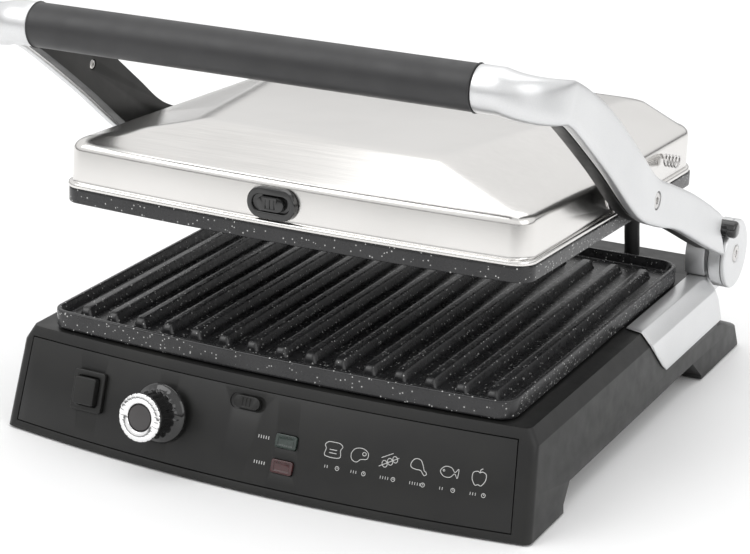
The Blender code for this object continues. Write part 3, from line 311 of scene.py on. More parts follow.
def rounded(x0, x1, y0, y1, r, n=8):
    pts = []
    for cx, cy, a0 in ((x1 - r, y0 + r, -90), (x1 - r, y1 - r, 0), (x0 + r, y1 - r, 90), (x0 + r, y0 + r, 180)):
        for k in range(n + 1):
            a = math.radians(a0 + 90 * k / n)
            pts.append((cx + r * math.cos(a), cy + r * math.sin(a)))
    return pts


def box(name, x0, x1, y0, y1, z0, z1, kind, r=0.0):
    if r:
        return prism(name, rounded(x0, x1, y0, y1, r), z0, z1, kind, "z")
    return prism(name, [(x0, y0), (x1, y0), (x1, y1), (x0, y1)], z0, z1, kind, "z")


def axes_of(axis):
    ax = Vector(axis).normalized()
    ref = Vector((0, 0, 1)) if abs(ax.z) < 0.9 else Vector((1, 0, 0))
    u = ax.cross(ref).normalized()
    return ax, u, ax.cross(u).normalized()


def lathe(name, profile, centre, axis, kind, seg=64, smooth=35):
    ax, u, v = axes_of(axis)
    c = Vector(centre)
    verts, index = [], []
    for a, r in profile:
        if r < 1e-9:
            index.append([len(verts)] * seg)
            verts.append(c + ax * a)
        else:
            row = []
            for k in range(seg):
                t = 2 * math.pi * k / seg
                row.append(len(verts))
                verts.append(c + ax * a + (u * math.cos(t) + v * math.sin(t)) * r)
            index.append(row)
    faces = []
    m = len(profile)
    closed = profile[0][1] > 1e-9 and profile[-1][1] > 1e-9
    for k in range(m if closed else m - 1):
        p, q = index[k], index[(k + 1) % m]
        for i in range(seg):
            j = (i + 1) % seg
            f = []
            for w in (p[i], p[j], q[j], q[i]):
                if w not in f:
                    f.append(w)
            if len(f) > 2:
                faces.append(tuple(f))
    return build(name, verts, faces, kind, smooth)


def rod(name, r, a, b, centre, axis, kind, seg=48):
    return lathe(name, [(a, 0), (a, r), (b, r), (b, 0)], centre, axis, kind, seg)


def tube(name, path, r, kind, seg=20, ripple=None):
    pts = [Vector(p) for p in path]
    tang = [(pts[min(i + 1, len(pts) - 1)] - pts[max(i - 1, 0)]).normalized() for i in range(len(pts))]
    t = tang[0]
    ref = Vector((0, 0, 1)) if abs(t.z) < 0.9 else Vector((1, 0, 0))
    u = t.cross(ref).normalized()
    rings = []
    for i, (p, t) in enumerate(zip(pts, tang)):
        u = (u - t * u.dot(t)).normalized()
        v = t.cross(u)
        rr = r if ripple is None else r + ripple(i)
        rings.append([tuple(p + (u * math.cos(2 * math.pi * k / seg) + v * math.sin(2 * math.pi * k / seg)) * rr) for k in range(seg)])
    return loft(name, rings, kind, 50)


def smooth_path(points, n=6):
    p = [np.array(q, float) for q in points]
    p = [2 * p[0] - p[1]] + p + [2 * p[-1] - p[-2]]
    out = []
    for i in range(1, len(p) - 2):
        for k in range(n):
            t = k / n
            a, b, c, e = p[i - 1], p[i], p[i + 1], p[i + 2]
            out.append(0.5 * ((2 * b) + (-a + c) * t + (2 * a - 5 * b + 4 * c - e) * t * t + (-a + 3 * b - 3 * c + e) * t ** 3))
    out.append(p[-2])
    return out


def carve(ob, cutters, how="DIFFERENCE", smooth=30):
    for c in cutters:
        md = ob.modifiers.new("cut", "BOOLEAN")
        md.operation = how
        md.solver = "EXACT"
        md.object = c
        dg = bpy.context.evaluated_depsgraph_get()
        me = bpy.data.meshes.new_from_object(ob.evaluated_get(dg))
        ob.modifiers.clear()
        ob.data = me
        bpy.data.objects.remove(c, do_unlink=True)
    bm = bmesh.new()
    bm.from_mesh(ob.data)
    bmesh.ops.remove_doubles(bm, verts=bm.verts, dist=1e-6)
    bmesh.ops.dissolve_degenerate(bm, dist=1e-6, edges=bm.edges)
    bm.to_mesh(ob.data)
    bm.free()
    while len(ob.data.materials) > 1:
        ob.data.materials.pop(index=len(ob.data.materials) - 1)
    if smooth:
        soften(ob.data, smooth)
    return ob


def bevel(ob, width, seg=3, angle=32, harden=True):
    """Rounds the sharp edges; applied at once so that the mesh is final."""
    md = ob.modifiers.new("round", "BEVEL")
    md.width = width
    md.segments = seg
    md.limit_method = "ANGLE"
    md.angle_limit = math.radians(angle)
    md.use_clamp_overlap = True
    md.miter_outer = "MITER_ARC"
    md.harden_normals = False
    dg = bpy.context.evaluated_depsgraph_get()
    me = bpy.data.meshes.new_from_object(ob.evaluated_get(dg))
    ob.modifiers.clear()
    ob.data = me
    soften(me, 40)
    return ob


def map_mesh(ob, fn):
    for v in ob.data.vertices:
        v.co = Vector(fn(tuple(v.co)))
    ob.data.update()
    return ob


def mirror(ob, name):
    me = ob.data.copy()
    o2 = bpy.data.objects.new(name, me)
    bpy.context.scene.collection.objects.link(o2)
    for v in me.vertices:
        v.co.x = -v.co.x
    me.flip_normals()
    o2["kind"] = ob["kind"]
    return o2


def join(name, obs):
    """One mesh from several objects that share a material."""
    bm = bmesh.new()
    for o in obs:
        bm.from_mesh(o.data)
    me = bpy.data.meshes.new(name)
    bm.to_mesh(me)
    bm.free()
    me.materials.append(M[obs[0]["kind"]])
    ob = bpy.data.objects.new(name, me)
    bpy.context.scene.collection.objects.link(ob)
    ob["kind"] = obs[0]["kind"]
    for o in obs:
        bpy.data.objects.remove(o, do_unlink=True)
    soften(me, 35)
    return ob


SHIFT = Matrix.Translation((-XC, -YC, 0))


def place(ob, body, *nodes):
    """Carries a finished piece from the design frame to the row frame, and rides it on its body."""
    ob.data.transform(SHIFT)
    del ob["kind"]
    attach(ob, body)
    if nodes:
        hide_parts(*nodes)
    return ob


def plan(hwf, hwr, yf, yr, rf, rr, bow, z, nc=12, nf=28):
    pts = []
    for k in range(nf + 1):
        pts.append([-hwf + rf + (2 * hwf - 2 * rf) * k / nf, yf])
    for k in range(1, nc + 1):
        a = math.radians(-90 + 90 * k / nc)
        pts.append([hwf - rf + rf * math.cos(a), yf + rf + rf * math.sin(a)])
    for k in range(nc + 1):
        a = math.radians(90 * k / nc)
        pts.append([hwr - rr + rr * math.cos(a), yr - rr + rr * math.sin(a)])
    for k in range(nc + 1):
        a = math.radians(90 + 90 * k / nc)
        pts.append([-hwr + rr + rr * math.cos(a), yr - rr + rr * math.sin(a)])
    for k in range(nc):
        a = math.radians(180 + 90 * k / nc)
        pts.append([-hwf + rf + rf * math.cos(a), yf + rf + rf * math.sin(a)])
    mid = 0.5 * (yf + yr)
    out = []
    for x, y in pts:
        if y < mid and bow:
            y -= bow * max(0.0, 1 - (x / hwf) ** 2) * min(1.0, (mid - y) / (mid - yf))
        out.append((x, y, z))
    return out


def bez(a, c, b, n):
    """Rings on a quadratic curve from ring a to ring b, pulled towards ring c."""
    out = []
    for k in range(n + 1):
        t = k / n
        out.append([tuple(((1 - t) ** 2) * p[i] + 2 * t * (1 - t) * q[i] + t * t * r[i] for i in range(3)) for p, q, r in zip(a, c, b)])
    return out


def front_y(x, z):
    s = BOW0 + (BOW1 - BOW0) * z / Z_TOP
    return LEAN * z - s * (1 - (x / BASE_HW0) ** 2)


def lid(p):
    x, y, z = p
    y -= PIVOT_C[0]
    z -= PIVOT_C[1]
    c, s = math.cos(LID_PITCH), math.sin(LID_PITCH)
    return (x, PIVOT[0] + c * y + s * z, PIVOT[1] - s * y + c * z)


def face_frame(x, z):
    e = 1e-4
    px = Vector((2 * e, front_y(x + e, z) - front_y(x - e, z), 0)).normalized()
    pz = Vector((0, front_y(x, z + e) - front_y(x, z - e), 2 * e)).normalized()
    n = px.cross(pz).normalized()
    if n.y > 0:
        n = -n
    w = (pz - n * pz.dot(n)).normalized()
    u = w.cross(-n).normalized()
    return Vector((x, front_y(x, z), z)), u, n, w


def face_prism(name, x, z, outline, a, b, kind, smooth=30, scale_b=1.0):
    c, u, n, w = face_frame(x, z)
    r0 = [tuple(c + u * p[0] + w * p[1] + n * a) for p in outline]
    r1 = [tuple(c + u * p[0] * scale_b + w * p[1] * scale_b + n * b) for p in outline]
    return loft(name, [r0, r1], kind, smooth)


def stadium(hw, hh, n=16):
    r = hh
    pts = []
    for cx, a0 in ((hw - r, -90), (-(hw - r), 90)):
        for k in range(n + 1):
            a = math.radians(a0 + 180 * k / n)
            pts.append((cx + r * math.cos(a), r * math.sin(a)))
    return pts


# ------------------------------------------------------------------ base
def base_plan(z, inset=0.0, rear=None, r=0.004, nc=8, nf=36):
    if z <= Z_CREASE:
        hw = BASE_HW0 + (BASE_HW1 - BASE_HW0) * z / Z_CREASE
    else:
        hw = BASE_HW1 + (BASE_HW2 - BASE_HW1) * (z - Z_CREASE) / (Z_TOP - Z_CREASE)
    s = BOW0 + (BOW1 - BOW0) * z / Z_TOP
    return plan(hw - inset, hw - inset, LEAN * z + inset, rear - inset, max(r - inset, 0.002), max(0.008 - inset, 0.002), s, z, nc, nf)


REAR = [(FOOT_Z, 0.351), (0.0150, 0.3462), (0.0262, 0.3186), (0.0268, 0.3120), (0.0452, 0.3058), (Z_CREASE, 0.3009), (0.0559, 0.2987), (Z_TOP, 0.2965)]
housing = loft("v_base_housing", [base_plan(z, 0.0, y) for z, y in REAR], "black_plastic", 20)
carve(housing, [box("block", -0.1500, 0.1500, 0.2750, 0.3340, 0.0100, Z_TOP, "black_plastic")], "UNION")
ARCH = [(0.0463, -0.02), (0.0480, 0.0060), (0.0580, 0.0166), (0.2585, 0.0166), (0.2735, 0.0040), (0.2753, -0.02)]
carve(housing, [
    prism("arch", ARCH, -0.3, 0.3, "black_plastic", "x"),
    loft("hollow", [base_plan(z, 0.0030, y) for z, y in ((0.0190, 0.3050), (Z_CREASE - 0.003, 0.2960), (Z_TOP - 0.0029, 0.2925))], "black_plastic"),
    box("hollow2", -0.160, 0.160, 0.0590, 0.2575, 0.0100, 0.0300, "black_plastic"),
    box("well", -0.1325, 0.1325, 0.0370, 0.2700, 0.0500, 0.0700, "black_plastic", 0.012),
])


def panel_solid(name, x0, x1, wide, z0, z1, out, inn, n=44, kind="black_plastic"):
    rings = []
    for k in range(n + 1):
        t = k / n
        ring = []
        for z, dd in ((z0, out), (z1, out), (z1, inn), (z0, inn)):
            w = wide * (z1 - z) / (z1 - z0)
            x = (x0 - w) + (x1 - x0 + 2 * w) * t
            ring.append((x, front_y(x, z) + dd, z))
        rings.append(ring)
    return loft(name, rings, kind, 20)


PZ0, PZ1 = 0.0060, 0.0550
carve(housing, [
    panel_solid("recess", -0.1612, 0.1575, 0.0040, PZ0 - 0.0006, PZ1 + 0.0006, -0.010, 0.0026),
    box("window", -0.1400, 0.1400, -0.0100, 0.0400, 0.0215, 0.0500, "black_plastic"),
    box("lamp_room", 0.0040, 0.0420, -0.0200, 0.0200, 0.0090, 0.0480, "black_plastic"),
    rod("ci", 0.0065, -0.01, 0.04, (-0.110, 0.300, 0.0340), (0, 1, 0), "rubber", 40),
] + [rod("pk", 0.0078, -0.01, 0.0042, (sx * 0.140, fy, 0), (0, 0, 1), "rubber", 48) for sx in (-1, 1) for fy in (0.026, 0.308)])
bevel(housing, 0.0011, 3, 22)

KNOB, BUTTON, LATCH = (-0.0600, 0.0325), (-0.1135, 0.0335), (-0.0060, 0.0478)
GREEN, RED = (0.0226, 0.0318), (0.0226, 0.0182)
kc, ku, kn, kw = face_frame(*KNOB)
KN = Vector((-0.045, -math.cos(math.radians(12)), math.sin(math.radians(12)))).normalized()
panel = panel_solid("v_front_panel", -0.1606, 0.1569, 0.0040, PZ0, PZ1, 0.0004, 0.0020, 44, "panel_black")
carve(panel, [
    rod("c1", 0.0046, -0.02, 0.02, kc, KN, "black_plastic", 40),
    face_prism("c2", *BUTTON, rounded(-0.0078, 0.0078, -0.0086, 0.0086, 0.0015), -0.01, 0.01, "black_plastic"),
    face_prism("c3", *LATCH, rounded(-0.0052, 0.0052, -0.0016, 0.0016, 0.0008), -0.01, 0.01, "black_plastic"),
    face_prism("c3b", *LATCH, stadium(0.0118, 0.0046), -0.0014, 0.01, "black_plastic"),
    face_prism("c4", *GREEN, rounded(-0.0070, 0.0070, -0.0042, 0.0042, 0.0015), -0.01, 0.01, "black_plastic"),
    face_prism("c5", *RED, rounded(-0.0070, 0.0070, -0.0042, 0.0042, 0.0015), -0.01, 0.01, "black_plastic"),
], smooth=20)
bevel(panel, 0.0003, 2, 30)
place(housing, "base", "base_housing")
place(panel, "base", "front_panel")

COV_T = 0.0012


def side_x(z):
    if z <= Z_CREASE:
        return BASE_HW0 + (BASE_HW1 - BASE_HW0) * z / Z_CREASE
    return BASE_HW1 + (BASE_HW2 - BASE_HW1) * (z - Z_CREASE) / (Z_TOP - Z_CREASE)


def cover(name):
    st = [
        (0.1525, Z_TOP, 0.1852, 0.2950), (0.1630, Z_TOP, 0.1827, 0.2958), (BASE_HW1, Z_CREASE, 0.1865, 0.3003),
        (side_x(0.0452), 0.0452, 0.1930, 0.3051), (side_x(0.0350), 0.0350, 0.2030, 0.3083), (side_x(0.0300), 0.0300, 0.2095, 0.3095),
    ]
    nrm = [(0, 1), (0.40, 0.92), (0.93, 0.36), (1, 0.08), (1, 0.08), (1, 0.08)]
    rows_o, rows_i = [], []
    for (x, z, yf, yr), (nx, nz) in zip(st, nrm):
        L = math.hypot(nx, nz)
        nx, nz = nx / L, nz / L
        rows_i.append((x + nx * GAP, z + nz * GAP, yf, yr))
        rows_o.append((x + nx * (GAP + COV_T), z + nz * (GAP + COV_T), yf, yr))
    rings = []
    for k in range(25):
        t = k / 24
        rings.append([(x, yf + (yr - yf) * t, z) for x, z, yf, yr in rows_o] + [(x, yf + (yr - yf) * t, z) for x, z, yf, yr in reversed(rows_i)])
    return bevel(loft(name, rings, "satin_aluminium", 12), 0.0007, 3, 14)


cr = cover("v_side_cover_right")
cl = mirror(cr, "v_side_cover_left")
place(cr, "base", "side_cover_right")
place(cl, "base", "side_cover_left")


def knuckle():
    cy, cz = HINGE
    zt = Z_TOP + COV_T + 3 * GAP
    a_end = math.degrees(math.asin((zt - cz) / HINGE_R))
    pts = []
    for k in range(61):
        a = math.radians((180.0 - a_end) * k / 60)
        pts.append((cy + HINGE_R * math.cos(a), cz + HINGE_R * math.sin(a)))
    pts += [(0.2990, zt), (0.3095, 0.0465), (0.3325, 0.0465), (0.3355, 0.0680)]
    return prism("v_hinge_knuckle_right", pts, 0.1503, 0.1630, "satin_aluminium", "x")


kr = knuckle()
carve(kr, [rod("b", 0.0043, 0.13, 0.18, (0, *HINGE), (1, 0, 0), "steel", 48)])
bevel(kr, 0.0006, 3, 40)
kl = mirror(kr, "v_hinge_knuckle_left")
place(kr, "base", "hinge_knuckle_right")
place(kl, "base", "hinge_knuckle_left")


# ------------------------------------------------------------------ grill plates
def plate(name, rim, skirt, floor, ribs_to):
    s = 1 if rim > skirt else -1

    def ring(ins, z, r=0.010):
        return plan(PL_HW - ins, PL_HW - ins, PL_YF + ins, PL_YR - ins, max(r - ins, 0.004), max(r + 0.004 - ins, 0.004), PL_BOW, z, 14, 30)
    rings = [ring(0.0024, floor - s * 0.0028), ring(0.0026, skirt), ring(0.0010, skirt)]
    rings += bez(ring(0.0006, skirt), ring(0.0, skirt), ring(0.0, skirt + s * 0.0012), 3)
    rings += [ring(0.0, skirt + s * 0.0013)]
    rings += bez(ring(0.0, rim - s * 0.0012), ring(0.0, rim), ring(0.0010, rim), 4)
    rings += bez(ring(0.0018, rim), ring(0.0028, rim), ring(0.0030, rim - s * 0.0012), 4)
    rings += bez(ring(0.0048, floor + s * 0.0012), ring(0.0052, floor), ring(0.0070, floor), 4)
    body = loft(name + "_body", rings, "granite", 30)
    body.data.materials.append(M["plate_gloss"])
    for f in body.data.polygons:
        if all(abs(body.data.vertices[v].co.z - floor) < 0.0013 and abs(body.data.vertices[v].co.x) < PL_HW - 0.0047 for v in f.vertices):
            f.material_index = 1
    parts = [body]
    y0, y1 = 0.0300, 0.2640
    wb, wt = 0.0052, 0.0027
    h = abs(ribs_to - floor)
    stations = []
    for k in range(7):                      # rounded nose that rises from the floor
        a = k / 6 * math.pi / 2
        stations.append((y0 + 0.0052 * (1 - math.cos(a)) * 0.9, 0.10 + 0.90 * math.sin(a)))
    stations += [(y0 + 0.012 + (y1 - y0 - 0.024) * k / 10, 1.0) for k in range(11)]
    for k in range(7):
        a = (1 - k / 6) * math.pi / 2
        stations.append((y1 - 0.0052 * (1 - math.cos(a)) * 0.9, 0.10 + 0.90 * math.sin(a)))
    for i in range(RIBS):
        x = (i - (RIBS - 1) / 2) * RIB_PITCH
        rr = []
        for y, g in stations:
            prof = []
            gw = 0.45 + 0.55 * g
            for k in range(13):
                q = -1 + 2 * k / 12
                # a trapezium with a rounded top, across the rib
                xx = q * wb
                aa = abs(xx)
                if aa < wt * 0.7:
                    zz = 1.0
                elif aa < wb:
                    t = (aa - wt * 0.7) / (wb - wt * 0.7)
                    zz = 0.5 + 0.5 * math.cos(math.pi * t ** 1.25)
                else:
                    zz = 0.0
                prof.append((x + xx * gw, y, floor + s * (h * g * zz)))
            prof = [(x - wb * gw, y, floor - s * 0.0006)] + prof + [(x + wb * gw, y, floor - s * 0.0006)]
            rr.append(prof)
        parts.append(loft("rib", rr, "plate_gloss", 50))
    return join(name, parts)


lower = plate("v_lower_plate", PL_RIM, PL_SKIRT, PL_FLOOR, 0.0737)
place(lower, "base", "lower_plate")
upper = map_mesh(plate("v_upper_plate", UP_RIM, UP_SKIRT, UP_RIM + (PL_RIM - PL_FLOOR), 0.0746), lid)
place(upper, "lid", "upper_plate")

# ------------------------------------------------------------------ lamps, button, latch on the front
for nm, at, kd, node in (("v_ready_lens", GREEN, "green_lens", "ready_lens"), ("v_power_lens", RED, "red_lens", "power_lens")):
    ln = face_prism(nm, *at, rounded(-0.0067, 0.0067, -0.0039, 0.0039, 0.0013), -0.0072, 0.0010, kd, 30)
    carve(ln, [face_prism("li", *at, rounded(-0.0049, 0.0049, -0.0023, 0.0023, 0.0006), 0.0005, 0.01, kd)])
    bevel(ln, 0.0003, 3, 35)
    place(ln, "base", node)
bezel = face_prism("v_button_bezel", *BUTTON, rounded(-0.0112, 0.0112, -0.0122, 0.0122, 0.0020), 0.0000, 0.0026, "black_plastic", 20)
carve(bezel, [face_prism("bz", *BUTTON, rounded(-0.0078, 0.0078, -0.0086, 0.0086, 0.0012), -0.01, 0.02, "black_plastic")], smooth=20)
bevel(bezel, 0.0007, 3, 35)
place(bezel, "base", "button_bezel")
btn = face_prism("v_push_button", *BUTTON, rounded(-0.0074, 0.0074, -0.0082, 0.0082, 0.0012), -0.0060, 0.0062, "black_plastic", 20)
bevel(btn, 0.0008, 4, 35)
place(btn, "push_button", "push_button")
sl = face_prism("v_lower_latch_slider", *LATCH, stadium(0.0085, 0.0036), -0.0010, 0.0016, "black_plastic", 25)
carve(sl, [face_prism("st", *LATCH, rounded(-0.0022, 0.0022, -0.0012, 0.0012, 0.0004), -0.0044, -0.0005, "black_plastic")], "UNION", 25)
carve(sl, [face_prism("rg", LATCH[0] + dx, LATCH[1], rounded(-0.00035, 0.00035, -0.0024, 0.0024, 0.0003), 0.0012, 0.01, "black_plastic") for dx in (-0.0024, 0.0, 0.0024)], smooth=25)
bevel(sl, 0.0002, 2, 35)
place(sl, "lower_latch", "lower_latch_slider")


# ------------------------------------------------------------------ control knob
def knob_body():
    ax, u, v = axes_of(KN)
    seg = 192
    rows = [(0.0026, 0.0034, 0), (0.0026, 0.0172, 0), (0.0029, 0.0178, 0), (0.0036, 0.0180, 0), (0.0050, 0.0177, 0), (0.0060, 0.0165, 0),
            (0.0070, 0.0149, 0.15), (0.0082, 0.0138, 0.6), (0.0098, 0.0132, 1), (0.0130, 0.0130, 1), (0.0190, 0.0127, 1), (0.0206, 0.0125, 1), (0.0212, 0.0120, 0.8), (0.0212, 0.0034, 0)]
    rings = []
    for a, r, f in rows:
        ring = []
        for k in range(seg):
            t = 2 * math.pi * k / seg
            rr = r - 0.0009 * f * (abs(math.cos(8 * t)) ** 6)
            ring.append(tuple(kc + KN * a + (u * math.cos(t) + v * math.sin(t)) * rr))
        rings.append(ring)
    return loft("v_control_knob", rings, "gloss_black", 50, True)


place(knob_body(), "knob", "control_knob")


def knob_ring():
    ax, u, v = axes_of(KN)
    seg = 240
    rows = [(0.0215, 0.0080, 0), (0.0215, 0.0124, 0), (0.0221, 0.0138, 0), (0.0227, 0.0142, 1), (0.0241, 0.0142, 1), (0.0248, 0.0138, 1), (0.0252, 0.0128, 0.2), (0.0252, 0.0092, 0), (0.0247, 0.0084, 0), (0.0240, 0.0080, 0)]
    rings = []
    for a, r, f in rows:
        ring = []
        for k in range(seg):
            t = 2 * math.pi * k / seg
            rr = r - 0.0005 * f * (max(0.0, math.cos(24 * t)) ** 8)
            ring.append(tuple(kc + KN * a + (u * math.cos(t) + v * math.sin(t)) * rr))
        rings.append(ring)
    return loft("v_knob_trim_ring", rings, "chrome", 50, True)


place(knob_ring(), "knob", "knob_trim_ring")
capk = lathe("v_knob_cap", [(0.0215, 0), (0.0215, 0.0077), (0.0236, 0.0077), (0.0243, 0.0073), (0.0244, 0.0040), (0.0245, 0.0)], kc, KN, "cap_grey", 96)
place(capk, "knob", "knob_cap")


# ------------------------------------------------------------------ arms and handle
def arm_outline():
    lower = [(-0.0010, 0.2418), (0.0225, 0.2328), (0.0379, 0.2240), (0.0850, 0.1895), (0.1346, 0.1507), (0.1700, 0.1345), (0.2056, 0.1219), (0.2617, 0.0945), (0.2926, 0.0800)]
    upper = [(0.0100, 0.2640), (0.0480, 0.2475), (0.0885, 0.2241), (0.1350, 0.1889), (0.1620, 0.1680), (0.1900, 0.1555), (0.2294, 0.1386), (0.2709, 0.1175), (0.3060, 0.0975)]
    return lower, upper


def arm():
    lo, upr = arm_outline()
    lo, upr = smooth_path(lo, 8), smooth_path(upr, 8)

    def resample(p, n):
        p = np.array(p)
        dd = np.r_[0, np.cumsum(np.linalg.norm(np.diff(p, axis=0), axis=1))]
        t = np.linspace(0, dd[-1], n)
        return np.c_[np.interp(t, dd, p[:, 0]), np.interp(t, dd, p[:, 1])]
    F = 5
    n = 14 * F + 1
    lo, upr = resample(lo, n), resample(upr, n)
    m = 56
    rings = []
    for x in (0.1363, 0.1366, 0.1370, 0.1420, 0.1460, 0.1500):
        r = GRIP_R - (0.0005 if x < 0.1364 else (0.00015 if x < 0.1368 else 0))
        rings.append([(x, GRIP[0] + r * math.cos(a), GRIP[1] + r * math.sin(a)) for a in [math.pi / 2 + 2 * math.pi * k / m for k in range(m)]])

    def section(c, uu, vv, hu, hv, e):
        ring = []
        for k in range(m):
            a = math.pi / 2 + 2 * math.pi * k / m
            ca, sa = math.cos(a), math.sin(a)
            x = abs(ca) ** (2 / e) * (1 if ca >= 0 else -1)
            y = abs(sa) ** (2 / e) * (1 if sa >= 0 else -1)
            ring.append(tuple(c + uu * (hu * x) + vv * (hv * y)))
        return ring
    first_c = Vector((0.5 * (ARM_X0 + ARM_X1), *(0.5 * (lo[F] + upr[F]))))
    dfirst = upr[F] - lo[F]
    start = Vector((0.1500, *GRIP))
    steps = 24
    for k in range(1, steps):
        t = k / steps
        ang = t * math.pi / 2
        c = Vector((start.x + (first_c.x - start.x) * math.sin(ang), start.y + (first_c.y - start.y) * (1 - math.cos(ang)), start.z + (first_c.z - start.z) * t))
        vv1 = Vector((0, dfirst[0], dfirst[1])).normalized()
        hv1 = 0.5 * float(np.linalg.norm(dfirst))
        vv = (Vector((0, 0, 1)) * (1 - t) + vv1 * t).normalized()
        uu = Vector((-math.sin(ang), math.cos(ang), 0))
        uu = (uu - vv * uu.dot(vv)).normalized()
        rings.append(section(c, uu, vv, GRIP_R + (0.5 * (ARM_X1 - ARM_X0) - GRIP_R) * t, GRIP_R + (hv1 - GRIP_R) * t, 2 + 2.4 * t))
    for k in range(F, n):
        dd = upr[k] - lo[k]
        c = Vector((0.5 * (ARM_X0 + ARM_X1), *(0.5 * (lo[k] + upr[k]))))
        vv = Vector((0, dd[0], dd[1])).normalized()
        rings.append(section(c, Vector((-1, 0, 0)), vv, 0.5 * (ARM_X1 - ARM_X0), 0.5 * float(np.linalg.norm(dd)), 4.4))
    return loft("v_arm_right", rings, "satin_aluminium", 45)


ar = arm()
eye = lathe("eye", [(0.1655, 0), (0.1655, HINGE_R - 0.0008), (0.1663, HINGE_R), (0.1735, HINGE_R), (0.1735, 0)], (0, *HINGE), (1, 0, 0), "satin_aluminium", 72)
clear_cap = lathe("cc", [(0.1735, 0), (0.1735, HINGE_R + GAP), (0.19, HINGE_R + GAP), (0.19, 0)], (0, *HINGE), (1, 0, 0), "satin_aluminium", 72)
BTN = (0.2952, 0.0973)
notch = prism("notch", [(0.2790, 0.1010), (0.2880, 0.1290), (0.3400, 0.1300), (0.3400, 0.0780), (0.2905, 0.0830)], 0.1692, 0.20, "satin_aluminium", "x")
carve(ar, [clear_cap])
carve(ar, [eye], "UNION", 40)
carve(ar, [
    rod("hb", 0.0043, 0.15, 0.1731, (0, *HINGE), (1, 0, 0), "steel", 40),
    rod("pb", 0.0031, 0.15, 0.18, (0, *PIVOT), (1, 0, 0), "steel", 40),
    rod("ps", 0.0056, 0.1745, 0.19, (0, *PIVOT), (1, 0, 0), "steel", 48),
    rod("gb", 0.0092, 0.13, 0.1480, (0, *GRIP), (1, 0, 0), "steel", 48),
], smooth=40)
al = mirror(ar, "v_arm_left")
carve(notch, [rod("nn", HINGE_R - 0.0001, 0.16, 0.21, (0, *HINGE), (1, 0, 0), "steel", 72)])
carve(ar, [notch], smooth=40)
carve(ar, [rod("bb", 0.0034, 0.1650, 0.175, (0, *BTN), (1, 0, 0), "steel", 40)], smooth=40)
place(ar, "arms", "arm_right")
place(al, "arms", "arm_left")


def liner():
    lo, upr = arm_outline()
    lo, upr = smooth_path(lo, 10), smooth_path(upr, 10)
    lo = [p for p in lo if p[0] > 0.030]
    upr = [p for p in upr if p[0] > 0.052]

    def cut(side, ins):
        out = []
        for i, p in enumerate(side):
            a, b = side[max(i - 1, 0)], side[min(i + 1, len(side) - 1)]
            dd = np.array(b) - np.array(a)
            dd = dd / np.linalg.norm(dd)
            q = np.array(p) + np.array([-dd[1], dd[0]]) * ins
            if math.hypot(q[0] - HINGE[0], q[1] - HINGE[1]) > 0.0335:
                out.append((float(q[0]), float(q[1])))
        return out
    return prism("v_arm_liner_right", cut(lo, 0.0010) + cut(upr, -0.0010)[::-1], LINER_X0, LINER_X1, "black_plastic", "x", 25)


LS = (0.0860, 0.2075)
li = liner()
carve(li, [rod("lb", 0.0031, 0.15, 0.18, (0, *PIVOT), (1, 0, 0), "steel", 40), rod("lc", 0.0034, 0.15, 0.1625, (0, *LS), (1, 0, 0), "steel", 40)], smooth=25)
bevel(li, 0.0007, 3, 40)
lil = mirror(li, "v_arm_liner_left")
place(li, "arms", "arm_liner_right")
place(lil, "arms", "arm_liner_left")


def hex_cut(x0, x1, r, centre, sx):
    pts = [(centre[0] + r * math.cos(math.radians(60 * k + 10)), centre[1] + r * math.sin(math.radians(60 * k + 10))) for k in range(6)]
    return prism("hx", pts, sx * x0, sx * x1, "steel", "x")


def screw_head(name, prof, at, sx, deep, socket, body, *nodes):
    o = lathe(name, prof, (0, *at), (sx, 0, 0), "steel", 64)
    carve(o, [hex_cut(deep[0], deep[1], socket, at, sx)])
    bevel(o, 0.00012, 2, 40)
    place(o, body, *nodes)


for sx, side in ((1, "right"), (-1, "left")):
    cap = lathe("v_hinge_cap_" + side, [(0.1738, 0), (0.1738, HINGE_R - 0.0006), (0.1742, HINGE_R), (0.1756, HINGE_R), (0.1762, HINGE_R - 0.0002), (0.1767, HINGE_R - 0.0007), (0.1768, HINGE_R - 0.0013), (0.1768, 0.0070), (0.1765, 0.0062), (0.1758, 0.0058), (0.1757, 0)], (0, *HINGE), (sx, 0, 0), "satin_aluminium", 96, 30)
    place(cap, "arms", "hinge_cap_" + side)
    screw_head("v_hinge_screw_" + side, [(0.1758, 0), (0.1758, 0.0054), (0.1764, 0.0054), (0.1767, 0.0051), (0.1768, 0.0045), (0.1768, 0)], HINGE, sx, (0.1762, 0.18), 0.0026, "arms", "hinge_screw_" + side)
    screw_head("v_pivot_screw_" + side, [(0.1492, 0), (0.1492, 0.0028), (0.1748, 0.0028), (0.1748, 0.0052), (0.1758, 0.0052), (0.1764, 0.0047), (0.1765, 0.0040), (0.1765, 0)], PIVOT, sx, (0.1755, 0.19), 0.0024, "arms", "pivot_screw_" + side)
    # the button-headed screw that holds the liner looks inwards
    s2 = lathe("v_liner_screw_" + side, [(0.1608, 0), (0.1608, 0.0022), (0.1611, 0.0028), (0.1622, 0.0031), (0.1622, 0)], (0, *LS), (sx, 0, 0), "steel", 48)
    carve(s2, [hex_cut(0.15, 0.1614, 0.0014, LS, sx)])
    place(s2, "arms", "liner_screw_" + side)

rb = lathe("v_release_button", [(0.1664, 0), (0.1664, 0.0030), (0.1718, 0.0030), (0.1718, 0.0052), (0.1721, 0.0056), (0.1812, 0.0056), (0.1822, 0.0051), (0.1828, 0.0042), (0.1830, 0.0028), (0.1830, 0)], (0, *BTN), (1, 0, 0), "gloss_black", 72)
place(rb, "release_button", "release_button")

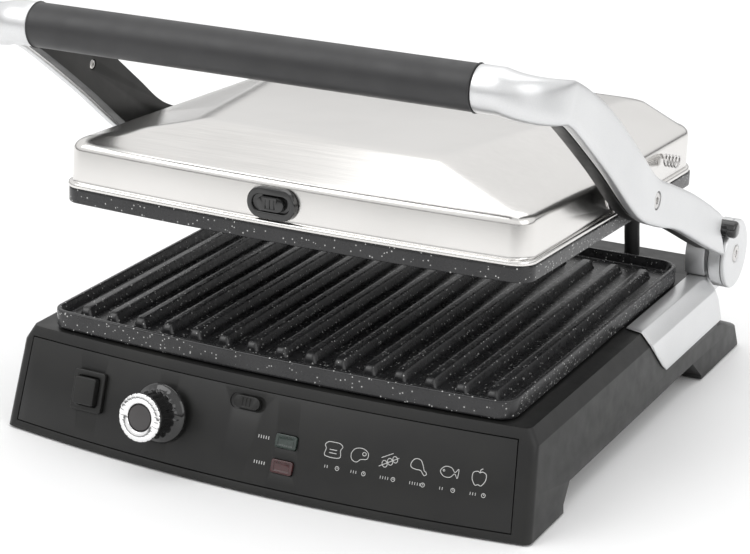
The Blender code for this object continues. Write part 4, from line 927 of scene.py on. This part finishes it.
grip_prof = [(-0.1360, 0.0104), (-0.1360, 0.0129), (-0.1357, 0.0133), (-0.1352, GRIP_R), (0.1352, GRIP_R), (0.1357, 0.0133), (0.1360, 0.0129), (0.1360, 0.0104)]
grip = lathe("v_handle_grip", grip_prof, (0, *GRIP), (1, 0, 0), "grip_rubber", 96)
place(grip, "arms", "handle_grip")

# ------------------------------------------------------------------ lid
H0, LIP, HC = UP_RIM, UP_SKIRT + GAP, 0.0365
TH = 0.0012


def lid_ring(hwf, hwr, yf, yr, rf, rr, bow, z):
    return plan(hwf, hwr, yf, yr, rf, rr, bow, z, 16, 30)


L = lid_ring
outer = [L(0.1484, 0.1484, 0.0206, 0.2848, 0.0100, 0.0200, 0.0058, LIP)]
outer += bez(L(0.1500, 0.1500, 0.0190, 0.2864, 0.0110, 0.0215, 0.0058, LIP), L(0.1514, 0.1514, 0.0176, 0.2880, 0.0121, 0.0225, 0.0058, LIP), L(0.1514, 0.1514, 0.0176, 0.2880, 0.0121, 0.0225, 0.0058, LIP + 0.0014), 4)
outer += bez(L(0.1514, 0.1514, 0.0176, 0.2880, 0.0121, 0.0225, 0.0058, LIP + 0.0018), L(0.1512, 0.1512, 0.0178, 0.2878, 0.0119, 0.0221, 0.0058, LIP + 0.0032), L(0.1500, 0.1500, 0.0190, 0.2862, 0.0108, 0.0200, 0.0058, LIP + 0.0034), 4)
outer += bez(L(0.1493, 0.1493, 0.0196, 0.2853, 0.0100, 0.0190, 0.0058, LIP + 0.0034), L(0.1490, 0.1490, 0.0199, 0.2850, 0.0108, 0.0180, 0.0058, LIP + 0.0036), L(0.1489, 0.1489, 0.0199, 0.2849, 0.0106, 0.0175, 0.0058, LIP + 0.0052), 3)
A_ = L(0.1487, 0.1487, 0.0203, 0.2847, 0.0111, 0.0162, 0.0060, H0 + HC - 0.0044)
C_ = L(0.1483, 0.1483, 0.0207, 0.2843, 0.0108, 0.0155, 0.0060, H0 + HC + 0.0003)
B_ = L(0.1418, 0.1430, 0.0256, 0.2795, 0.0095, 0.0138, 0.0056, H0 + HC + 0.0021)
outer += bez(A_, C_, B_, 8)
A_ = L(0.0870, 0.1205, 0.0538, 0.2735, 0.0083, 0.0102, 0.0021, H0 + HC + 0.0139)
C_ = L(0.0812, 0.1150, 0.0577, 0.2703, 0.0072, 0.0092, 0.0018, H0 + HC + 0.0156)
B_ = L(0.0760, 0.1090, 0.0635, 0.2645, 0.0060, 0.0080, 0.0015, H0 + HC + 0.0157)
outer += bez(A_, C_, B_, 6)
inner = [
    L(0.0765, 0.1100, 0.0630, 0.2650, 0.0060, 0.0080, 0.0015, H0 + HC + 0.0156 - TH),
    L(0.0820, 0.1160, 0.0570, 0.2710, 0.0080, 0.0100, 0.0020, H0 + HC + 0.0145 - TH),
    L(0.1425, 0.1430, 0.0262, 0.2793, 0.0125, 0.0135, 0.0056, H0 + HC + 0.0008 - TH),
    L(0.1468, 0.1468, 0.0222, 0.2828, 0.0138, 0.0145, 0.0058, H0 + HC - 0.0024),
    L(0.1472, 0.1472, 0.0218, 0.2832, 0.0165, 0.0175, 0.0058, LIP + 0.0030),
    L(0.1472, 0.1472, 0.0218, 0.2832, 0.0165, 0.0175, 0.0058, LIP),
]
n = len(outer[0])
rings = outer + inner
faces = []
for k in range(len(rings)):
    if k == len(outer) - 1:
        continue
    for i in range(n):
        j = (i + 1) % n
        a, b = k * n, ((k + 1) % len(rings)) * n
        faces.append((a + i, a + j, b + j, b + i))
a = (len(outer) - 1) * n
faces.append(tuple(a + i for i in range(n)))
a = len(outer) * n
faces.append(tuple(a + i for i in range(n - 1, -1, -1)))
shell = build("v_lid_shell", [v for r in rings for v in r], faces, "lid_steel", 30)
for sx in (1, -1):
    boss = lathe("boss", [(0.1440, 0), (0.1440, 0.0100), (0.1494, 0.0100), (0.1497, 0.0097), (0.1497, 0)], (0, *PIVOT_C), (sx, 0, 0), "lid_steel", 64)
    carve(shell, [boss], "UNION", 30)
    carve(shell, [rod("bh", 0.0054, 0.1400, 0.16, (0, *PIVOT_C), (sx, 0, 0), "steel", 48)])
LZ = H0 + 0.0232
LX = -0.0045
carve(shell, [box("sl", LX - 0.0060, LX + 0.0060, 0.0050, 0.0300, LZ - 0.0020, LZ + 0.0020, "steel")])
map_mesh(shell, lid)
place(shell, "lid", "lid_shell")


def lid_face_y(x, z):
    t = (z - (LIP + 0.0036)) / (H0 + HC - 0.0014 - LIP - 0.0036)
    return 0.0198 + 0.0006 * t - (0.0058 + 0.0002 * t) * (1 - (x / 0.1488) ** 2)


ly = lid_face_y(0, LZ)


def lid_front_prism(name, outline, y0, y1, kind, smooth=30, s1=1.0):
    return loft(name, [[(p[0] * s1, y1, LZ + p[1] * s1) for p in outline], [(p[0], y0, LZ + p[1]) for p in outline]], kind, smooth)


lb = lid_front_prism("v_upper_latch_bezel", stadium(0.0162, 0.0096, 24), ly - GAP - 0.0002, ly - 0.0042, "gloss_black", 30, 0.94)
carve(lb, [lid_front_prism("lr", stadium(0.0122, 0.0050, 20), ly - 0.0022, ly - 0.010, "gloss_black"), box("lf", -0.0058, 0.0058, ly - 0.02, ly + 0.01, LZ - 0.0018, LZ + 0.0018, "gloss_black")], smooth=25)
bevel(lb, 0.0006, 4, 35)
place(map_mesh(lb, lambda q: lid((q[0] + LX, q[1], q[2]))), "lid", "upper_latch_bezel")
ls = lid_front_prism("v_upper_latch_slider", stadium(0.0085, 0.0042, 20), ly - 0.0026, ly - 0.0046, "gloss_black", 25)
carve(ls, [box("lt", -0.0022, 0.0022, ly - 0.0035, ly + 0.0075, LZ - 0.0014, LZ + 0.0014, "gloss_black")], "UNION", 25)
carve(ls, [box("rg", dx - 0.0003, dx + 0.0003, ly - 0.0060, ly - 0.0042, LZ - 0.0026, LZ + 0.0026, "gloss_black") for dx in (-0.0028, 0.0, 0.0028)], smooth=25)
bevel(ls, 0.0002, 2, 35)
place(map_mesh(ls, lambda q: lid((q[0] + LX, q[1], q[2]))), "upper_latch", "upper_latch_slider")


def spring(name):
    pts = []
    turns, R = 4.5, 0.0034
    x0, x1 = 0.1500, 0.1596
    nn = int(turns * 28)
    for k in range(nn + 1):
        a = 2 * math.pi * turns * k / nn
        pts.append((x0 + (x1 - x0) * k / nn, 0.2260 + R * math.cos(a), H0 + 0.0265 + R * math.sin(a)))
    return tube(name, pts, 0.0006, "steel", 12)


sp = map_mesh(spring("v_balance_spring_right"), lid)
spl = mirror(sp, "v_balance_spring_left")
place(sp, "lid", "balance_spring_right")
place(spl, "lid", "balance_spring_left")

for sx, side in ((1, "right"), (-1, "left")):
    bush = lathe("v_pivot_bush_" + side, [(0.1460, 0.0031), (0.1460, 0.0050), (0.1500, 0.0050), (0.1500, 0.0094), (0.1503, 0.0098), (0.1512, 0.0098), (0.1540, 0.0086), (0.1570, 0.0080), (0.1598, 0.0077), (0.1602, 0.0073), (0.1602, 0.0031)], (0, *PIVOT), (sx, 0, 0), "black_plastic", 64)
    place(bush, "swivel", "pivot_bush_" + side)

# ------------------------------------------------------------------ wire sleeve from the base to the lid
path = smooth_path([
    (0.1080, 0.3080, Z_TOP + 2 * GAP), (0.1080, 0.3080, 0.0700), (0.1068, 0.3090, 0.0850), (0.1050, 0.3150, 0.1020),
    (0.1040, 0.3240, 0.1200), (0.1030, 0.3230, 0.1340), tuple(lid((0.1020, 0.2985, 0.0990))), tuple(lid((0.1020, 0.2904, 0.0985)))], 14)
N = len(path)
cuts = [0, int(N * 0.22), int(N * 0.52), int(N * 0.76), N - 1]
for k in range(4):
    seg = path[cuts[k]:cuts[k + 1] + 1]
    o = tube(f"v_cable_sleeve_{k + 1}", seg, 0.0050, "cable", 28)
    o.data.transform(SHIFT)
    del o["kind"]
    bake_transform(o)
    if k == 0:
        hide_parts("cable_sleeve")


# ------------------------------------------------------------------ printed marks on the front panel
def strokes(name, at, lines, width, body="base"):
    """Thin raised ribbons that follow the bowed panel; lines are in metres round a point of the face."""
    verts, faces = [], []

    def put(u, w, h):
        x, z = at[0] + u, at[1] + w * 0.96
        c, uu, n, ww = face_frame(x, z)
        return tuple(c + n * h)
    for pts, closed in lines:
        p = [np.array(q, float) for q in pts]
        mcount = len(p)
        row = []
        for i in range(mcount):
            a = p[(i - 1) % mcount] if (closed or i > 0) else p[i]
            b = p[(i + 1) % mcount] if (closed or i < mcount - 1) else p[i]
            t = b - a
            t = t / (np.linalg.norm(t) + 1e-12)
            nn = np.array([-t[1], t[0]]) * width / 2
            row.append((p[i] + nn, p[i] - nn))
        base = len(verts)
        for q1, q2 in row:
            verts += [put(*q1, -0.00045), put(*q1, -0.00034), put(*q2, -0.00034), put(*q2, -0.00045)]
        rng = range(mcount if closed else mcount - 1)
        for i in rng:
            a, b = base + 4 * i, base + 4 * ((i + 1) % mcount)
            for s in range(4):
                faces.append((a + s, a + (s + 1) % 4, b + (s + 1) % 4, b + s))
        if not closed:
            faces.append((base, base + 1, base + 2, base + 3))
            e = base + 4 * (mcount - 1)
            faces.append((e + 3, e + 2, e + 1, e))
    return build(name, verts, faces, "print", 0)


def curve_pts(pts, closed=True, nn=5):
    q = [np.array(p, float) for p in pts]
    if not closed:
        return [tuple(v) for v in smooth_path(q, nn)]
    out = []
    c = len(q)
    for i in range(c):
        a, b, e, f = q[(i - 1) % c], q[i], q[(i + 1) % c], q[(i + 2) % c]
        for k in range(nn):
            t = k / nn
            out.append(tuple(0.5 * ((2 * b) + (-a + e) * t + (2 * a - 5 * b + 4 * e - f) * t * t + (-a + 3 * b - 3 * e + f) * t ** 3)))
    return out


def oval(cx, cy, rx, ry, nn=20, tilt=0.0):
    c, s = math.cos(tilt), math.sin(tilt)
    return [(cx + rx * math.cos(2 * math.pi * k / nn) * c - ry * math.sin(2 * math.pi * k / nn) * s, cy + rx * math.cos(2 * math.pi * k / nn) * s + ry * math.sin(2 * math.pi * k / nn) * c) for k in range(nn)]


mm = 0.001


def sc(pts):
    return [(p[0] * mm, p[1] * mm) for p in pts]


ICONS = {
    "toast": [(sc(curve_pts([(-4.6, -3.6), (4.2, -3.6), (4.3, 0.6), (5.3, 2.6), (3.4, 4.2), (0, 4.4), (-3.6, 4.2), (-5.5, 2.4), (-4.6, 0.4)])), True), (sc([(-2.4, -1.6), (2.2, -1.6)]), False), (sc([(-2.4, 0.2), (2.2, 0.2)]), False)],
    "steak": [(sc(curve_pts([(-5.2, 0.4), (-3.0, 3.4), (1.4, 4.0), (4.8, 2.0), (4.6, -1.2), (1.0, -2.0), (-1.4, -3.8), (-4.4, -2.8)])), True), (sc(oval(2.6, 1.2, 1.1, 0.9)), True)],
    "skewer": [(sc([(-5.6, -3.6), (5.6, 2.6)]), False), (sc(oval(-2.4, -1.8, 1.5, 1.9, 16, 0.5)), True), (sc(oval(0.6, -0.2, 1.5, 1.9, 16, 0.5)), True), (sc(oval(3.4, 1.4, 1.4, 1.8, 16, 0.5)), True), (sc([(-4.8, 1.2), (1.8, 4.6)]), False)],
    "leg": [(sc(curve_pts([(-4.6, 1.4), (-2.6, 4.0), (0.6, 3.8), (2.4, 1.2), (3.6, -1.6), (4.6, -2.2), (5.2, -3.4), (4.0, -4.2), (3.0, -3.4), (1.4, -1.8), (-1.6, -1.6), (-4.2, -0.8)])), True)],
    "fish": [(sc(curve_pts([(-4.8, 0.0), (-2.4, 2.8), (1.4, 2.6), (3.6, 0.4), (5.6, 2.4), (5.4, -2.6), (3.6, -0.4), (1.2, -2.6), (-2.4, -2.6)])), True), (sc(oval(-2.8, 0.6, 0.5, 0.5, 10)), True)],
    "pepper": [(sc(curve_pts([(-3.6, 2.2), (-1.2, 3.2), (0.2, 2.6), (1.6, 3.2), (3.8, 2.0), (3.8, -1.4), (1.8, -4.4), (0.0, -4.0), (-1.8, -4.4), (-3.8, -1.2)])), True), (sc(curve_pts([(0.2, 2.8), (0.4, 4.2), (1.6, 5.0)], False)), False)],
}
PLACES = [0.0520, 0.0682, 0.0860, 0.1036, 0.1212, 0.1388]
for (nm, lines), x in zip(ICONS.items(), PLACES):
    o = strokes("v_mark_" + nm, (x, 0.0325), lines, 0.00042)
    place(o, "base")
    k = PLACES.index(x)
    ticks = [(sc([(-3.6 + 1.5 * i, -0.8), (-3.6 + 1.5 * i, 0.8)]), False) for i in range(2 + k % 4)]
    ticks += [(sc(oval(4.0, 0.0, 1.1, 1.1, 16)), True), (sc([(4.0, 0.7), (4.0, 0.0), (4.5, 0.0)]), False)]
    o = strokes("v_ticks_" + nm, (x, 0.0235), ticks, 0.00036)
    place(o, "base")
for nm, at in (("ready", (GREEN[0] - 0.0150, GREEN[1])), ("power", (RED[0] - 0.0150, RED[1]))):
    ln = [(sc([(-3.0 + 1.6 * i, -0.9), (-3.0 + 1.6 * i, 0.9)]), False) for i in range(5)]
    o = strokes("v_label_" + nm, at, ln, 0.00050)
    place(o, "base")

# ------------------------------------------------------------------ floor and light
floor_me = bpy.data.meshes.new("floor")
FS = 6.0
floor_me.from_pydata([(-FS, -FS, 0), (FS, -FS, 0), (FS, FS, 0), (-FS, FS, 0)], [], [(0, 1, 2, 3)])
floor = bpy.data.objects.new("floor", floor_me)
bpy.context.scene.collection.objects.link(floor)
fm, nt, b = new_mat("floor_pale")
nt.links.new(ramp(nt, noise(nt, coords(nt), 3.0, 2.0), [(0.3, grey(0.90)), (0.7, grey(0.92))]), b.inputs["Base Color"])
b.inputs["Roughness"].default_value = 0.9
b.inputs["Specular IOR Level"].default_value = 0.1
floor_me.materials.append(fm)

world = bpy.data.worlds.new("world")
bpy.context.scene.world = world
world.use_nodes = True
wt = world.node_tree
wc = wt.nodes.new("ShaderNodeTexCoord")
ws = wt.nodes.new("ShaderNodeSeparateXYZ")
wt.links.new(wc.outputs["Generated"], ws.inputs[0])
wr = wt.nodes.new("ShaderNodeMapRange")
wr.inputs["From Min"].default_value = -1.0
wr.inputs["From Max"].default_value = 1.0
wt.links.new(ws.outputs["Z"], wr.inputs["Value"])
sky = ramp(wt, wr.outputs["Result"], [(0.0, (0.80, 0.80, 0.80)), (0.46, (0.50, 0.50, 0.50)), (0.505, (0.14, 0.14, 0.14)), (0.535, (0.22, 0.22, 0.22)), (0.585, (0.95, 0.95, 0.95)), (0.80, (1.0, 1.0, 1.0)), (0.93, (0.92, 0.92, 0.92)), (1.0, (0.70, 0.70, 0.70))])
wt.links.new(sky, wt.nodes["Background"].inputs["Color"])
wt.nodes["Background"].inputs["Strength"].default_value = 0.98


def area(name, loc, target, size, power, size_y=None):
    ld = bpy.data.lights.new(name, "AREA")
    ld.shape = "RECTANGLE"
    ld.size = size
    ld.size_y = size_y or size
    ld.energy = power
    o = bpy.data.objects.new(name, ld)
    bpy.context.scene.collection.objects.link(o)
    o.location = loc
    o.rotation_euler = (Vector(target) - Vector(loc)).to_track_quat("-Z", "Y").to_euler()
    return o


area("key", (-0.9, -1.0, 1.5), (0, 0, 0.1), 1.2, 10)
area("fill", (1.6, -0.6, 0.9), (0, 0, 0.1), 1.2, 4.5)
area("top", (0.0, 0.4, 1.8), (0, 0, 0.1), 1.6, 10)
bpy.context.scene.view_settings.view_transform = "Standard"
bpy.context.scene.view_settings.look = "None"
